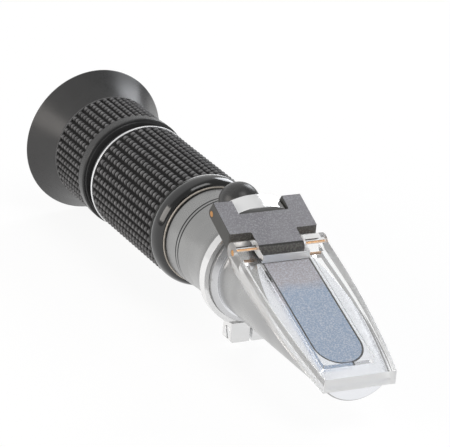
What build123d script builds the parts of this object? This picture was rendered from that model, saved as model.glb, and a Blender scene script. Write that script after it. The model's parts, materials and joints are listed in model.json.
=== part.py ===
from build123d import *
import os
from math import asin, cos, pi, radians, sin, sqrt, tan

os.makedirs("parts", exist_ok=True)

# Hand-held battery and coolant refractometer, in millimetres.
# The optical axis runs along Y: the prism end is at -Y, the eyepiece at +Y, and Z is up.
# The origin is at mid length, on the level of the lowest point of the eyecup.

# Lengths of the stations along the optical axis, from the front tip to the eyecup
plate_overhang = 1.8
holder_length = 51.2
flange_show = 2.0
clamp_ring_width = 2.75
barrel_show = 23.0
nose_ring_length = 4.4
nose_round_length = 3.3
front_trim_width = 0.4
grip_length = 35.1
rear_trim_width = 0.6
collar_length = 2.3
collar_groove = 0.3
focus_gap = 1.9
focus_rim_length = 3.1
focus_knurl_length = 15.1
eyecup_flare_length = 8.8

# Outer radii about the optical axis
eyecup_radius = 20.2
collar_radius = 14.1
grip_radius = 15.0
nose_ring_tip_radius = 13.35
barrel_radius = 13.0
barrel_neck_radius = 12.4
barrel_mouth_radius = 14.15
clamp_ring_radius = 14.35
flange_radius = 13.0
holder_radius = 11.2

# Knurled rubber: straight ribs round the grip and round the eyecup's sleeve
grip_ribs = 40
eyecup_ribs = 47
rib_height = 0.7
rib_valley = 0.25
rib_crest_share = 0.45

# Clearances and small gaps
part_gap = 0.05
moving_gap = 0.3
running_clearance = 0.05
thread_clearance = 0.05
seat_clearance = 0.05

# Slanted measuring face of the prism holder
face_angle = 20.2
pin_over_face = 1.375
relief_depth = 1.6
relief_front_from_pin = 3.6
relief_back_wall = 0.4
tip_chamfer = 0.4

# Prism
prism_half_width = 6.2
prism_start = 5.5
prism_rear_wall = 0.7
prism_toe_thickness = 1.8
prism_front_round = 5.8
seal_width = 0.45
seal_depth = 1.2
seal_recess = 0.08
light_bore_radius = 5.3
light_bore_end = 9.3
stop_bore_radius = 7.5
stop_thickness = 0.6
stop_aperture_radius = 4.0

# Spigot of the prism holder inside the barrel
spigot_radius = 11.6
spigot_length = 4.4
spigot_seal_thickness = 0.9
spigot_seal_setback = 1.2
flange_cone_radius = 11.7
flange_cone_length = 1.0

# Hinge arm and its two pins
rear_pin_back = 0.6
pin_over_floor = 1.05
lug_over_pin = 3.4
lug_crown_fall = 1.3
arm_angle = 24.4
arm_pin_distance = 14.24
arm_above_pin = 3.05
arm_below_pin = 1.2
arm_half_width = 12.2
arm_tail = 1.4
arm_tail_rise = 0.2
arm_tail_turn = 50
arm_top_setback = 0.9
notch_half_width = 7.0
notch_depth = 4.6
knuckle_half_width = 6.3
shoulder_setback = 10.4
pin_radius = 0.8
arm_edge_fillet = 0.35

# Daylight plate
plate_thickness = 2.3
pad_height = 0.9
pad_gap = 0.15
pad_half_width = 7.15
pad_front_reach = 1.2
pad_corner = 1.0
plate_rear_half_width = 12.7
plate_mid_half_width = 12.4
plate_tip_half_width = 9.8
plate_mid_distance = 21.0
plate_wall = 1.2
ear_radius = 2.65
ear_gap = 0.25
plate_back_gap = 2.3
skirt_rear_drop = 2.2
skirt_tip_rise = 0.12
skirt_inner_radius = 11.55
ear_below_face = 0.6
ear_mid_turn = 15
ear_low_setback = 1.2
ear_low_drop = 2.2

# Clamp ring with its hinge lug and its split ears
lug_half_width = 6.7
lug_front_wall = 3.4
lug_back_wall = 1.6
lug_floor_gap = 0.6
ear_half_width = 5.8
ear_bottom_drop = 18.4
ear_length = 4.4
ear_front_step = 0.7
ear_chamfer = 0.6
split_width = 0.8
clamp_screw_drop = 16.1
clamp_screw_radius = 1.0
clamp_head_radius = 1.6
clamp_head_length = 1.3
slot_width = 0.5
slot_depth = 0.6

# Barrel
barrel_neck_from_mouth = 10.8
barrel_cylinder_length = 1.5
barrel_bore_radius = 11.0
barrel_neck_curve_radius = 12.85
barrel_neck_curve_from_mouth = 5.6
focus_thread_radius = 12.4
focus_thread_length = 10.4

# Calibration screw under its rubber cap
calibration_from_mouth = 8.9
boss_radius = 3.9
boss_top = 14.6
boss_root = 11.2
screw_radius = 1.5
screw_seat = 12.8
screw_head_radius = 2.2
screw_head_base = 13.3
screw_head_length = 1.0
screw_well_radius = 2.5
screw_slot_width = 0.7
screw_slot_depth = 0.6
cap_radius = 5.3
cap_inner_radius = 4.0
cap_inner_top = 17.2
cap_wall_top = 15.4
cap_top = 19.7
cap_lift_gap = 0.15

# Sliding carrier with the objective lens
carrier_radius = 10.4
carrier_length = 6.9
carrier_bore_radius = 7.5
carrier_flat_drop = 8.8
carrier_flat_length = 4.4
carrier_travel = 0.25
retainer_length = 1.8
spring_half_span = 4.4
spring_width = 3.0
spring_thickness = 0.25
spring_crest_drop = 9.3
strip_thickness = 0.6
strip_eye_radius = 7.2
strip_eye_bore = 5.2
strip_half_width = 2.7
strip_top = 8.9
strip_screw_spread = 1.7
strip_screw_height = 8.0
strip_screw_radius = 0.45
strip_screw_head_radius = 0.75
strip_screw_head = 0.5
strip_screw_depth = 2.0
cell_radius = 6.8
cell_bore_radius = 5.8
cell_lip_radius = 5.2
cell_lip = 0.6
cell_length = 4.6
objective_clear_radius = 5.0
objective_ring_length = 1.2
objective_edge = 1.6
objective_dome_height = 0.9

# Baffle, reticle and their rings
baffle_from_grip_front = 4.0
baffle_length = 1.5
baffle_aperture = 6.0
reticle_from_grip_rear = 17.0
reticle_holder_length = 5.0
reticle_radius = 8.0
reticle_thickness = 1.5
reticle_window = 6.5
reticle_seat = 2.0
reticle_ring_length = 1.2

# Keyed lens tube of the eyepiece
tube_radius = 10.9
tube_inner_radius = 8.6
tube_front_reach = 13.0
tube_ledge_radius = 7.6
tube_ledge_length = 1.0
tube_flange_radius = 12.0
tube_flange_length = 2.0
field_lens_edge = 1.4
eye_lens_edge = 1.4
lens_clear_radius = 7.2
flat_dome_height = 0.7
steep_dome_height = 1.3
spacer_length = 3.0
spacer_wall = 0.9
lock_ring_length = 1.2
lock_ring_inner = 7.4
guide_screw_inset = 7.0
guide_screw_radius = 1.0
guide_head_radius = 1.45
guide_head_length = 0.9
seal_minor_radius = 0.62
seal_from_thread_end = 4.0

# Focus ring, its retainer and the eyecup
focus_travel_in = 1.5
focus_travel_out = 2.5
focus_core_wall = 1.2
focus_web_length = 1.5
focus_rim_round = 0.7
focus_rear_setback = 0.8
eyepiece_retainer_length = 3.0
eyepiece_bore_radius = 8.5
eyecup_sleeve_wall = 1.8
focus_rim_step = 0.1
eyecup_lip_length = 0.9
eyecup_lip_radius = 11.4
eyecup_wall = 1.3
eyecup_edge_wall = 0.9
flare_dip_depth = 0.15

# Stations worked out from the lengths above
overall_length = (
    plate_overhang + holder_length + flange_show + clamp_ring_width + part_gap + barrel_show
    + nose_ring_length + front_trim_width + grip_length + rear_trim_width + collar_length
    + focus_gap + focus_rim_length + focus_knurl_length + eyecup_flare_length
)
plate_front = -overall_length / 2
holder_front = plate_front + plate_overhang
flange_front = holder_front + holder_length
ring_front = flange_front + flange_show
ring_rear = ring_front + clamp_ring_width
barrel_front = ring_rear + part_gap
nose_front = barrel_front + barrel_show
nose_rear = nose_front + nose_ring_length
grip_front = nose_rear + front_trim_width
grip_rear = grip_front + grip_length
collar_front = grip_rear + rear_trim_width
collar_rear = collar_front + collar_length
focus_front = collar_rear + focus_gap
focus_rim_rear = focus_front + focus_rim_length
knurl_rear = focus_rim_rear + focus_knurl_length
eyecup_rear = knurl_rear + eyecup_flare_length

# The focus ring's core is built up from the thread, the sleeve from the core, and the rim from the sleeve
focus_core_radius = focus_thread_radius + focus_core_wall
knurl_radius = focus_core_radius + eyecup_sleeve_wall
focus_rim_radius = knurl_radius + focus_rim_step

# The optical axis stands at the height of the eyecup's radius, and heights below are from it
axis_height = eyecup_radius
optical_axis = Axis((0, 0, axis_height), (0, 1, 0))
side_plane = Plane(origin=(0, 0, axis_height), x_dir=(0, 1, 0), z_dir=(1, 0, 0))


def side_face(*outline):
    # A closed outline of (station, height) points, drawn on the plane of symmetry
    with BuildSketch(side_plane) as drawing:
        with BuildLine():
            Polyline(*outline, close=True)
        make_face()
    return drawing.sketch


def ring_face(front, rear, inner, outer):
    # The rectangular section of a plain ring about the optical axis
    return side_face((front, inner), (rear, inner), (rear, outer), (front, outer))


def dome_middle(bulge, radius):
    # The middle of a spherical dome's arc: its height over the rim and its distance from the axis
    sphere = (radius**2 + bulge**2) / (2 * bulge)
    half_angle = asin(radius / sphere) / 2
    return bulge - sphere * (1 - cos(half_angle)), sphere * sin(half_angle)


def lens_face(front, edge, radius, clear_radius, front_bulge, rear_bulge):
    # Half the section of a lens: a flat rim, and a spherical dome on each face
    rear = front + edge
    front_height, front_distance = dome_middle(front_bulge, clear_radius)
    rear_height, rear_distance = dome_middle(rear_bulge, clear_radius)
    with BuildSketch(side_plane) as drawing:
        with BuildLine():
            Polyline((front, clear_radius), (front, radius), (rear, radius), (rear, clear_radius))
            ThreePointArc((rear, clear_radius), (rear + rear_height, rear_distance), (rear + rear_bulge, 0))
            Line((rear + rear_bulge, 0), (front - front_bulge, 0))
            ThreePointArc(
                (front - front_bulge, 0), (front - front_height, front_distance), (front, clear_radius)
            )
        make_face()
    return drawing.sketch


def cross_plane(station):
    # A plane across the optical axis, with its x towards +X and its y upwards
    return Plane(origin=(0, station, axis_height), x_dir=(1, 0, 0), z_dir=(0, -1, 0))


def ribbed_plan(station, ribs, bore_radius, tip_radius):
    # The section of a tube with ribs standing out from it, wide at the foot and narrow at the crest
    foot_radius = tip_radius - rib_height
    foot_half = pi * foot_radius / ribs - rib_valley / 2
    crest_half = foot_half * rib_crest_share
    crest = sqrt(tip_radius**2 - crest_half**2) - part_gap
    with BuildSketch(cross_plane(station)) as drawing:
        Circle(foot_radius)
        with PolarLocations(0, ribs):
            Polygon(
                (foot_radius - part_gap, -foot_half),
                (crest, -crest_half),
                (crest, crest_half),
                (foot_radius - part_gap, foot_half),
                align=None,
            )
        Circle(bore_radius, mode=Mode.SUBTRACT)
    return drawing.sketch


def level_plane(height):
    # A level plane at a height above the optical axis
    return Plane.XY.offset(axis_height + height)


# Pin centres, from the arm's slope and its middle line
lug_floor = barrel_mouth_radius + lug_floor_gap
rear_pin_station = ring_rear + rear_pin_back
rear_pin_height = lug_floor + pin_over_floor
lug_radius = rear_pin_height + lug_over_pin
arm_thickness = arm_above_pin + arm_below_pin
knuckle_radius = arm_thickness / 2
arm_middle = arm_above_pin - knuckle_radius
arm_cos = cos(radians(arm_angle))
arm_sin = sin(radians(arm_angle))


def arm_point(along, above):
    # A point of the arm: its distance forward along the arm and square above the rear pin
    return (
        rear_pin_station - along * arm_cos - above * arm_sin,
        rear_pin_height - along * arm_sin + above * arm_cos,
    )


front_pin_station, front_pin_height = arm_point(arm_pin_distance, arm_middle)

# The slanted face lies under the front pin: its height above the axis at a station, moved square
# to itself by an offset
face_slope = tan(radians(face_angle))


def face_height(station, offset=0.0):
    rise = (station - front_pin_station) * face_slope
    return front_pin_height + rise + (offset - pin_over_face) / cos(radians(face_angle))


shoulder_station = rear_pin_station - shoulder_setback
web_rear_station = rear_pin_station - notch_depth

relief_front = front_pin_station - relief_front_from_pin
relief_rear = flange_front - relief_back_wall
prism_front = holder_front + prism_start
prism_rear = relief_front - prism_rear_wall
prism_length = prism_rear - prism_front
prism_floor = face_height(prism_front) - prism_toe_thickness
light_bore_rear = relief_front + light_bore_end
spigot_rear = barrel_front + spigot_length


def prism_plan(height, margin=0.0):
    # The plan of the prism at a height: round in front, square behind, grown all round by a margin
    with BuildSketch(level_plane(height)) as drawing:
        with Locations((0, (prism_front + prism_rear) / 2)):
            Rectangle(2 * (prism_half_width + margin), prism_length + 2 * margin)
        fillet(drawing.vertices().group_by(Axis.Y)[0], prism_front_round + margin)
    return drawing.sketch


def barrel_face(extra=0.0):
    # Half the section of the barrel's outer shape before the focus thread, swollen by an extra radius
    curve_station = barrel_front + barrel_neck_curve_from_mouth
    neck_station = barrel_front + barrel_neck_from_mouth
    taper_end = nose_front - barrel_cylinder_length
    with BuildSketch(side_plane) as drawing:
        with BuildLine():
            ThreePointArc(
                (barrel_front, barrel_mouth_radius + extra),
                (curve_station, barrel_neck_curve_radius + extra),
                (neck_station, barrel_neck_radius + extra),
            )
            Polyline(
                (neck_station, barrel_neck_radius + extra),
                (taper_end, barrel_radius + extra),
                (collar_rear, barrel_radius + extra),
                (collar_rear, 0),
                (barrel_front, 0),
                (barrel_front, barrel_mouth_radius + extra),
            )
        make_face()
    return drawing.sketch


# Prism holder: a cylinder cut by the slanted face, with a cone-faced flange and a threaded spigot
with BuildPart() as prism_holder:
    revolve(
        side_face(
            (holder_front, 0),
            (holder_front, holder_radius - tip_chamfer),
            (holder_front + tip_chamfer, holder_radius),
            (flange_front, holder_radius),
            (flange_front, flange_cone_radius),
            (flange_front + flange_cone_length, flange_radius),
            (ring_rear, flange_radius),
            (ring_rear, spigot_radius),
            (spigot_rear, spigot_radius),
            (spigot_rear, 0),
        ),
        axis=optical_axis,
    )
    # The slanted cut
    cut_reach = 2 * holder_radius
    extrude(
        side_face(
            (holder_front - cut_reach, face_height(holder_front - cut_reach)),
            (flange_front, face_height(flange_front)),
            (flange_front, cut_reach),
            (holder_front - cut_reach, cut_reach),
        ),
        amount=cut_reach,
        both=True,
        mode=Mode.SUBTRACT,
    )
    # The relief under the hinge knuckle and the plate's ears
    extrude(
        side_face(
            (relief_front, face_height(relief_front, -relief_depth)),
            (relief_rear, face_height(relief_rear, -relief_depth)),
            (relief_rear, cut_reach),
            (relief_front, cut_reach),
        ),
        amount=cut_reach,
        both=True,
        mode=Mode.SUBTRACT,
    )
    # The prism's pocket, open upwards
    extrude(prism_plan(prism_floor - seat_clearance, seal_width), amount=cut_reach, mode=Mode.SUBTRACT)
    # The light bore and the wider bore behind it
    light_bore = ring_face(prism_rear, light_bore_rear, 0, light_bore_radius)
    stop_bore = ring_face(light_bore_rear, spigot_rear, 0, stop_bore_radius)
    revolve(light_bore, axis=optical_axis, mode=Mode.SUBTRACT)
    revolve(stop_bore, axis=optical_axis, mode=Mode.SUBTRACT)
    # The groove for the spigot's seal
    revolve(
        ring_face(
            barrel_front + spigot_seal_setback,
            barrel_front + spigot_seal_setback + spigot_seal_thickness + 2 * part_gap,
            spigot_radius - spigot_seal_thickness,
            spigot_radius,
        ),
        axis=optical_axis,
        mode=Mode.SUBTRACT,
    )
prism_holder.part.label = "prism_holder"

with BuildPart() as spigot_seal:
    seal_radius = spigot_seal_thickness / 2
    seal_centre = barrel_front + spigot_seal_setback + seal_radius + part_gap
    with BuildSketch(side_plane):
        with Locations((seal_centre, spigot_radius - seal_radius)):
            Circle(seal_radius - part_gap / 2)
    revolve(axis=optical_axis)
spigot_seal.part.label = "spigot_seal"

# Prism: its slanted top is flush with the holder's face, and its rear face is square to the axis
with BuildPart() as prism:
    extrude(
        side_face(
            (prism_front, face_height(prism_front)),
            (prism_rear, face_height(prism_rear)),
            (prism_rear, prism_floor),
            (prism_front, prism_floor),
        ),
        amount=prism_half_width,
        both=True,
    )
    extrude(prism_plan(prism_floor), amount=cut_reach, mode=Mode.INTERSECT)
prism.part.label = "prism"

# Seal: the thin frame that closes the gap round the prism
with BuildPart() as prism_seal:
    seal_front = prism_front - seal_width
    seal_rear = prism_rear + seal_width
    extrude(
        side_face(
            (seal_front, face_height(seal_front, -seal_recess)),
            (seal_rear, face_height(seal_rear, -seal_recess)),
            (seal_rear, face_height(seal_rear, -seal_depth)),
            (seal_front, face_height(seal_front, -seal_depth)),
        ),
        amount=prism_half_width + seal_width,
        both=True,
    )
    extrude(prism_plan(prism_floor - cut_reach, seal_width), amount=2 * cut_reach, mode=Mode.INTERSECT)
    extrude(prism_plan(prism_floor - cut_reach), amount=2 * cut_reach, mode=Mode.SUBTRACT)
prism_seal.part.label = "prism_seal"

with BuildPart() as light_stop:
    revolve(
        ring_face(
            light_bore_rear,
            light_bore_rear + stop_thickness,
            stop_aperture_radius,
            stop_bore_radius - seat_clearance,
        ),
        axis=optical_axis,
    )
light_stop.part.label = "light_stop"

# Clamp ring: round the holder's flange, with the hinge lug on top and two split ears below
lug_front = rear_pin_station - lug_front_wall
lug_rear = rear_pin_station + lug_back_wall
ear_front = ring_front - ear_front_step
ear_rear = ear_front + ear_length
ear_middle = (ear_front + ear_rear) / 2
with BuildPart() as clamp_ring:
    # The lug is a sector of a turned ring whose crown rises to the rear, and overhangs the barrel's mouth
    revolve(
        side_face(
            (lug_front, flange_radius + part_gap),
            (lug_front, lug_radius - lug_crown_fall),
            (lug_rear, lug_radius),
            (lug_rear, lug_floor),
            (ring_rear, lug_floor),
            (ring_rear, flange_radius + part_gap),
        ),
        axis=optical_axis,
    )
    with BuildSketch(cross_plane(lug_rear)):
        with Locations((0, lug_radius)):
            Rectangle(2 * lug_half_width, 2 * lug_radius)
    extrude(amount=lug_rear - lug_front, mode=Mode.INTERSECT)
    clamp_band = ring_face(ring_front, ring_rear, flange_radius + part_gap, clamp_ring_radius)
    revolve(clamp_band, axis=optical_axis)
    # The ears
    with BuildSketch(cross_plane(ear_rear)):
        with Locations((0, -(flange_radius + ear_bottom_drop) / 2)):
            Rectangle(2 * ear_half_width, ear_bottom_drop - flange_radius)
    extrude(amount=ear_length)
    ear_edges = clamp_ring.edges().filter_by(Axis.Y).group_by(Axis.Z)[0]
    chamfer(ear_edges, ear_chamfer)
    revolve(
        ring_face(ear_front, ring_rear, 0, flange_radius + part_gap),
        axis=optical_axis,
        mode=Mode.SUBTRACT,
    )
    revolve(
        ring_face(ring_rear, lug_rear, 0, barrel_mouth_radius + moving_gap),
        axis=optical_axis,
        mode=Mode.SUBTRACT,
    )
    # The split between the ears, the screw's hole and its sunk seat
    with BuildSketch(cross_plane(ear_rear)):
        with Locations((0, -ear_bottom_drop + ear_length / 2)):
            Rectangle(split_width, 2 * ear_length)
    extrude(amount=ear_length, mode=Mode.SUBTRACT)
    screw_plane = Plane(
        origin=(-ear_half_width, ear_middle, axis_height - clamp_screw_drop),
        x_dir=(0, 1, 0),
        z_dir=(1, 0, 0),
    )
    with BuildSketch(screw_plane):
        Circle(clamp_screw_radius + thread_clearance)
    extrude(amount=2 * ear_half_width, mode=Mode.SUBTRACT)
    with BuildSketch(screw_plane):
        Circle(clamp_head_radius + seat_clearance)
    extrude(amount=clamp_head_length + seat_clearance, mode=Mode.SUBTRACT)
    # The rear hinge pin's hole
    with BuildSketch(side_plane):
        with Locations((rear_pin_station, rear_pin_height)):
            Circle(pin_radius + running_clearance)
    extrude(amount=lug_half_width, both=True, mode=Mode.SUBTRACT)
clamp_ring.part.label = "clamp_ring"

with BuildPart() as clamp_screw:
    with BuildSketch(screw_plane):
        Circle(clamp_head_radius)
    extrude(amount=clamp_head_length)
    with BuildSketch(screw_plane):
        Circle(clamp_screw_radius)
    extrude(amount=2 * ear_half_width - ear_chamfer)
    with BuildSketch(screw_plane):
        Rectangle(2 * clamp_head_radius, slot_width, rotation=70)
    extrude(amount=slot_depth, mode=Mode.SUBTRACT)
clamp_screw.part.label = "clamp_screw"

# Hinge arm: a bar with a round knuckle in front, notched behind round the lug
with BuildPart() as hinge_arm:
    tail_low = arm_point(0, -arm_below_pin)
    tail_turn = radians(arm_tail_turn)
    tail_mid = arm_point(-arm_tail * sin(tail_turn), -arm_below_pin * cos(tail_turn))
    tail_back = arm_point(-arm_tail, arm_tail_rise)
    tail_top = arm_point(-arm_top_setback, arm_above_pin)
    nose_top = arm_point(arm_pin_distance, arm_above_pin)
    nose_mid = arm_point(arm_pin_distance + knuckle_radius, arm_middle)
    nose_low = arm_point(arm_pin_distance, -arm_below_pin)
    with BuildSketch(side_plane):
        with BuildLine():
            Line(tail_top, nose_top)
            ThreePointArc(nose_top, nose_mid, nose_low)
            Line(nose_low, tail_low)
            ThreePointArc(tail_low, tail_mid, tail_back)
            Line(tail_back, tail_top)
        make_face()
    extrude(amount=arm_half_width, both=True)
    # The notch round the lug
    with BuildSketch(level_plane(0)):
        with Locations((0, web_rear_station + notch_depth)):
            Rectangle(2 * notch_half_width, 2 * notch_depth)
    extrude(amount=2 * lug_radius, mode=Mode.SUBTRACT)
    # The shoulders each side of the knuckle
    with BuildSketch(level_plane(0)):
        shoulder_width = arm_half_width - knuckle_half_width + moving_gap
        with Locations(
            (knuckle_half_width + shoulder_width / 2, shoulder_station - arm_pin_distance / 2),
            (-knuckle_half_width - shoulder_width / 2, shoulder_station - arm_pin_distance / 2),
        ):
            Rectangle(shoulder_width, arm_pin_distance)
    extrude(amount=2 * lug_radius, mode=Mode.SUBTRACT)
    fillet(hinge_arm.edges().filter_by(Axis.Z), arm_edge_fillet)
    # Room over the holder's flange and over the clamp ring
    revolve(
        ring_face(flange_front - moving_gap, ring_front, 0, flange_radius + moving_gap),
        axis=optical_axis,
        mode=Mode.SUBTRACT,
    )
    revolve(
        ring_face(ring_front, lug_rear, 0, clamp_ring_radius + moving_gap),
        axis=optical_axis,
        mode=Mode.SUBTRACT,
    )
    # The two pin holes
    with BuildSketch(side_plane):
        with Locations((rear_pin_station, rear_pin_height), (front_pin_station, front_pin_height)):
            Circle(pin_radius + running_clearance)
    extrude(amount=arm_half_width, both=True, mode=Mode.SUBTRACT)
hinge_arm.part.label = "hinge_arm"

with BuildPart() as rear_hinge_pin:
    with BuildSketch(side_plane):
        with Locations((rear_pin_station, rear_pin_height)):
            Circle(pin_radius)
    extrude(amount=arm_half_width, both=True)
rear_hinge_pin.part.label = "rear_hinge_pin"

with BuildPart() as front_hinge_pin:
    with BuildSketch(side_plane):
        with Locations((front_pin_station, front_pin_height)):
            Circle(pin_radius)
    extrude(amount=plate_rear_half_width - part_gap, both=True)
front_hinge_pin.part.label = "front_hinge_pin"

# Daylight plate: heights are offsets square to the slanted face
pad_low = pad_gap
plate_low = pad_low + pad_height
plate_top = plate_low + plate_thickness
pin_over_face = (front_pin_height - face_height(front_pin_station)) * cos(radians(face_angle))
pad_front = prism_front - pad_front_reach
ear_back = front_pin_station + ear_radius
ear_step = relief_front + moving_gap
plate_back = front_pin_station - knuckle_radius - plate_back_gap
cut_rear = ear_back + moving_gap
plate_base = -2 * holder_radius
plate_column = 4 * holder_radius


def plate_plan(inset=0.0, rear=ear_back):
    # The plan of the plate: straight ears, convex sides and a narrower tip, all drawn in by an inset
    rear_half = plate_rear_half_width - inset
    mid_half = plate_mid_half_width - inset
    tip_half = plate_tip_half_width - inset
    tip = plate_front + inset
    mid = plate_front + plate_mid_distance
    with BuildSketch(level_plane(plate_base)) as drawing:
        with BuildLine():
            Polyline(
                (-rear_half, plate_back), (-rear_half, rear), (rear_half, rear), (rear_half, plate_back)
            )
            ThreePointArc((rear_half, plate_back), (mid_half, mid), (tip_half, tip))
            Line((tip_half, tip), (-tip_half, tip))
            ThreePointArc((-tip_half, tip), (-mid_half, mid), (-rear_half, plate_back))
        make_face()
    return drawing.sketch


def under_plate_face(height):
    # Everything below a height over the slanted face, and lower still between the ears and the relief
    return side_face(
        (plate_front - moving_gap, -cut_reach),
        (plate_front - moving_gap, face_height(plate_front - moving_gap, height)),
        (ear_step, face_height(ear_step, height)),
        (ear_step, face_height(ear_step, -ear_below_face)),
        (cut_rear, face_height(cut_rear, -ear_below_face)),
        (cut_rear, -cut_reach),
    )


with BuildPart() as daylight_plate:
    # The outline seen from the side: the sloping top, the round ears, which stand above it, and the
    # lower edge of the walls
    face_cos = cos(radians(face_angle))
    face_sin = sin(radians(face_angle))
    top_over_pin = plate_top - pin_over_face
    ear_reach = sqrt(ear_radius**2 - top_over_pin**2)
    top_rear = front_pin_station - top_over_pin * face_sin - ear_reach * face_cos
    ear_turn = radians(ear_mid_turn)
    ear_mid = (
        front_pin_station + ear_radius * cos(ear_turn),
        front_pin_height + ear_radius * sin(ear_turn),
    )
    ear_low = (ear_back - ear_low_setback, front_pin_height - ear_low_drop)
    with BuildSketch(side_plane):
        with BuildLine():
            ThreePointArc((top_rear, face_height(top_rear, plate_top)), ear_mid, ear_low)
            Polyline(
                ear_low,
                (front_pin_station, face_height(front_pin_station, -skirt_rear_drop)),
                (plate_front, face_height(plate_front, skirt_tip_rise)),
                (plate_front, face_height(plate_front, plate_top)),
                (top_rear, face_height(top_rear, plate_top)),
            )
        make_face()
    extrude(amount=2 * plate_rear_half_width, both=True)
    extrude(plate_plan(), amount=plate_column, mode=Mode.INTERSECT)
    # The space under the plate, inside its walls
    tray_column = extrude(plate_plan(plate_wall, cut_rear), amount=plate_column, mode=Mode.PRIVATE)
    tray_slab = extrude(
        under_plate_face(plate_low), amount=2 * plate_rear_half_width, both=True, mode=Mode.PRIVATE
    )
    add(tray_column & tray_slab, mode=Mode.SUBTRACT)
    # The opening between the ears
    with BuildSketch(level_plane(plate_base)):
        with Locations((0, (plate_back + cut_rear) / 2)):
            Rectangle(2 * (knuckle_half_width + ear_gap), cut_rear - plate_back)
    extrude(amount=plate_column, mode=Mode.SUBTRACT)
    # The raised pad that presses on the prism
    with BuildSketch(level_plane(plate_base), mode=Mode.PRIVATE) as pad_plan:
        with Locations((0, (pad_front + prism_rear) / 2)):
            Rectangle(2 * pad_half_width, prism_rear - pad_front)
        fillet(pad_plan.vertices().group_by(Axis.Y)[0], pad_corner)
    pad_column = extrude(pad_plan.sketch, amount=plate_column, mode=Mode.PRIVATE)
    pad_bite = plate_low + plate_thickness / 2
    pad_slab = extrude(
        side_face(
            (pad_front, face_height(pad_front, pad_low)),
            (prism_rear, face_height(prism_rear, pad_low)),
            (prism_rear, face_height(prism_rear, pad_bite)),
            (pad_front, face_height(pad_front, pad_bite)),
        ),
        amount=pad_half_width,
        both=True,
        mode=Mode.PRIVATE,
    )
    add(pad_column & pad_slab)
    # Room for the holder's round sides inside the walls
    holder_room = revolve(
        ring_face(plate_front - moving_gap, cut_rear, 0, skirt_inner_radius),
        axis=optical_axis,
        mode=Mode.PRIVATE,
    )
    room_slab = extrude(
        under_plate_face(pad_low), amount=2 * plate_rear_half_width, both=True, mode=Mode.PRIVATE
    )
    add(holder_room & room_slab, mode=Mode.SUBTRACT)
    # The pin's hole
    with BuildSketch(side_plane):
        with Locations((front_pin_station, front_pin_height)):
            Circle(pin_radius + running_clearance)
    extrude(amount=plate_rear_half_width, both=True, mode=Mode.SUBTRACT)
daylight_plate.part.label = "daylight_plate"

# Barrel: the aluminium body from the clamp ring to the focus thread
thread_end = collar_rear + focus_thread_length
calibration_station = barrel_front + calibration_from_mouth
boss_axis = Axis((0, calibration_station, 0), (0, 0, 1))
guide_station = collar_front - guide_screw_inset
with BuildPart() as barrel:
    revolve(barrel_face(), axis=optical_axis)
    revolve(ring_face(collar_rear, thread_end, 0, focus_thread_radius), axis=optical_axis)
    # The bore, wider in front for the holder's spigot
    bore_front = spigot_rear + part_gap
    revolve(ring_face(bore_front, thread_end, 0, barrel_bore_radius), axis=optical_axis, mode=Mode.SUBTRACT)
    revolve(
        ring_face(barrel_front, bore_front, 0, spigot_radius + thread_clearance),
        axis=optical_axis,
        mode=Mode.SUBTRACT,
    )
    # The calibration screw's boss, its thread and the well for its head
    with BuildSketch(level_plane(boss_root)):
        with Locations((0, calibration_station)):
            Circle(boss_radius)
    extrude(amount=boss_top - boss_root)
    with BuildSketch(level_plane(0)):
        with Locations((0, calibration_station)):
            Circle(screw_radius + thread_clearance)
    extrude(amount=boss_top, mode=Mode.SUBTRACT)
    with BuildSketch(level_plane(screw_seat)):
        with Locations((0, calibration_station)):
            Circle(screw_well_radius)
    extrude(amount=boss_top - screw_seat, mode=Mode.SUBTRACT)
    # The guide screw's hole and its sunk seat, under the grip
    with BuildSketch(level_plane(0)):
        with Locations((0, guide_station)):
            Circle(guide_screw_radius + thread_clearance)
    extrude(amount=barrel_radius, mode=Mode.SUBTRACT)
    with BuildSketch(level_plane(barrel_radius - guide_head_length)):
        with Locations((0, guide_station)):
            Circle(guide_head_radius + seat_clearance)
    extrude(amount=2 * guide_head_length, mode=Mode.SUBTRACT)
barrel.part.label = "barrel"

# Calibration screw: its tip rests on the lens carrier
with BuildPart() as calibration_screw:
    with BuildSketch(level_plane(carrier_radius + part_gap)):
        with Locations((0, calibration_station)):
            Circle(screw_radius)
    extrude(amount=screw_head_base - carrier_radius - part_gap)
    with BuildSketch(level_plane(screw_head_base)):
        with Locations((0, calibration_station)):
            Circle(screw_head_radius)
    extrude(amount=screw_head_length)
    with BuildSketch(level_plane(screw_head_base + screw_head_length - screw_slot_depth)):
        with Locations((0, calibration_station)):
            Rectangle(2 * screw_head_radius, screw_slot_width)
    extrude(amount=screw_slot_depth, mode=Mode.SUBTRACT)
calibration_screw.part.label = "calibration_screw"

# Calibration cap: a rubber dome over the boss, its foot shaped to the barrel
dome_height, dome_distance = dome_middle(cap_top - cap_wall_top, cap_radius)
with BuildPart() as calibration_cap:
    with BuildSketch(cross_plane(calibration_station)):
        with BuildLine():
            cap_foot = barrel_neck_radius - cap_radius / 2
            Line((cap_inner_radius, cap_foot), (cap_radius, cap_foot))
            Line((cap_radius, cap_foot), (cap_radius, cap_wall_top))
            ThreePointArc(
                (cap_radius, cap_wall_top), (dome_distance, cap_wall_top + dome_height), (0, cap_top)
            )
            Line((0, cap_top), (0, cap_inner_top))
            Line((0, cap_inner_top), (cap_inner_radius, cap_inner_top))
            Line((cap_inner_radius, cap_inner_top), (cap_inner_radius, cap_foot))
        make_face()
    revolve(axis=boss_axis)
    revolve(barrel_face(cap_lift_gap), axis=optical_axis, mode=Mode.SUBTRACT)
calibration_cap.part.label = "calibration_cap"

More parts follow.
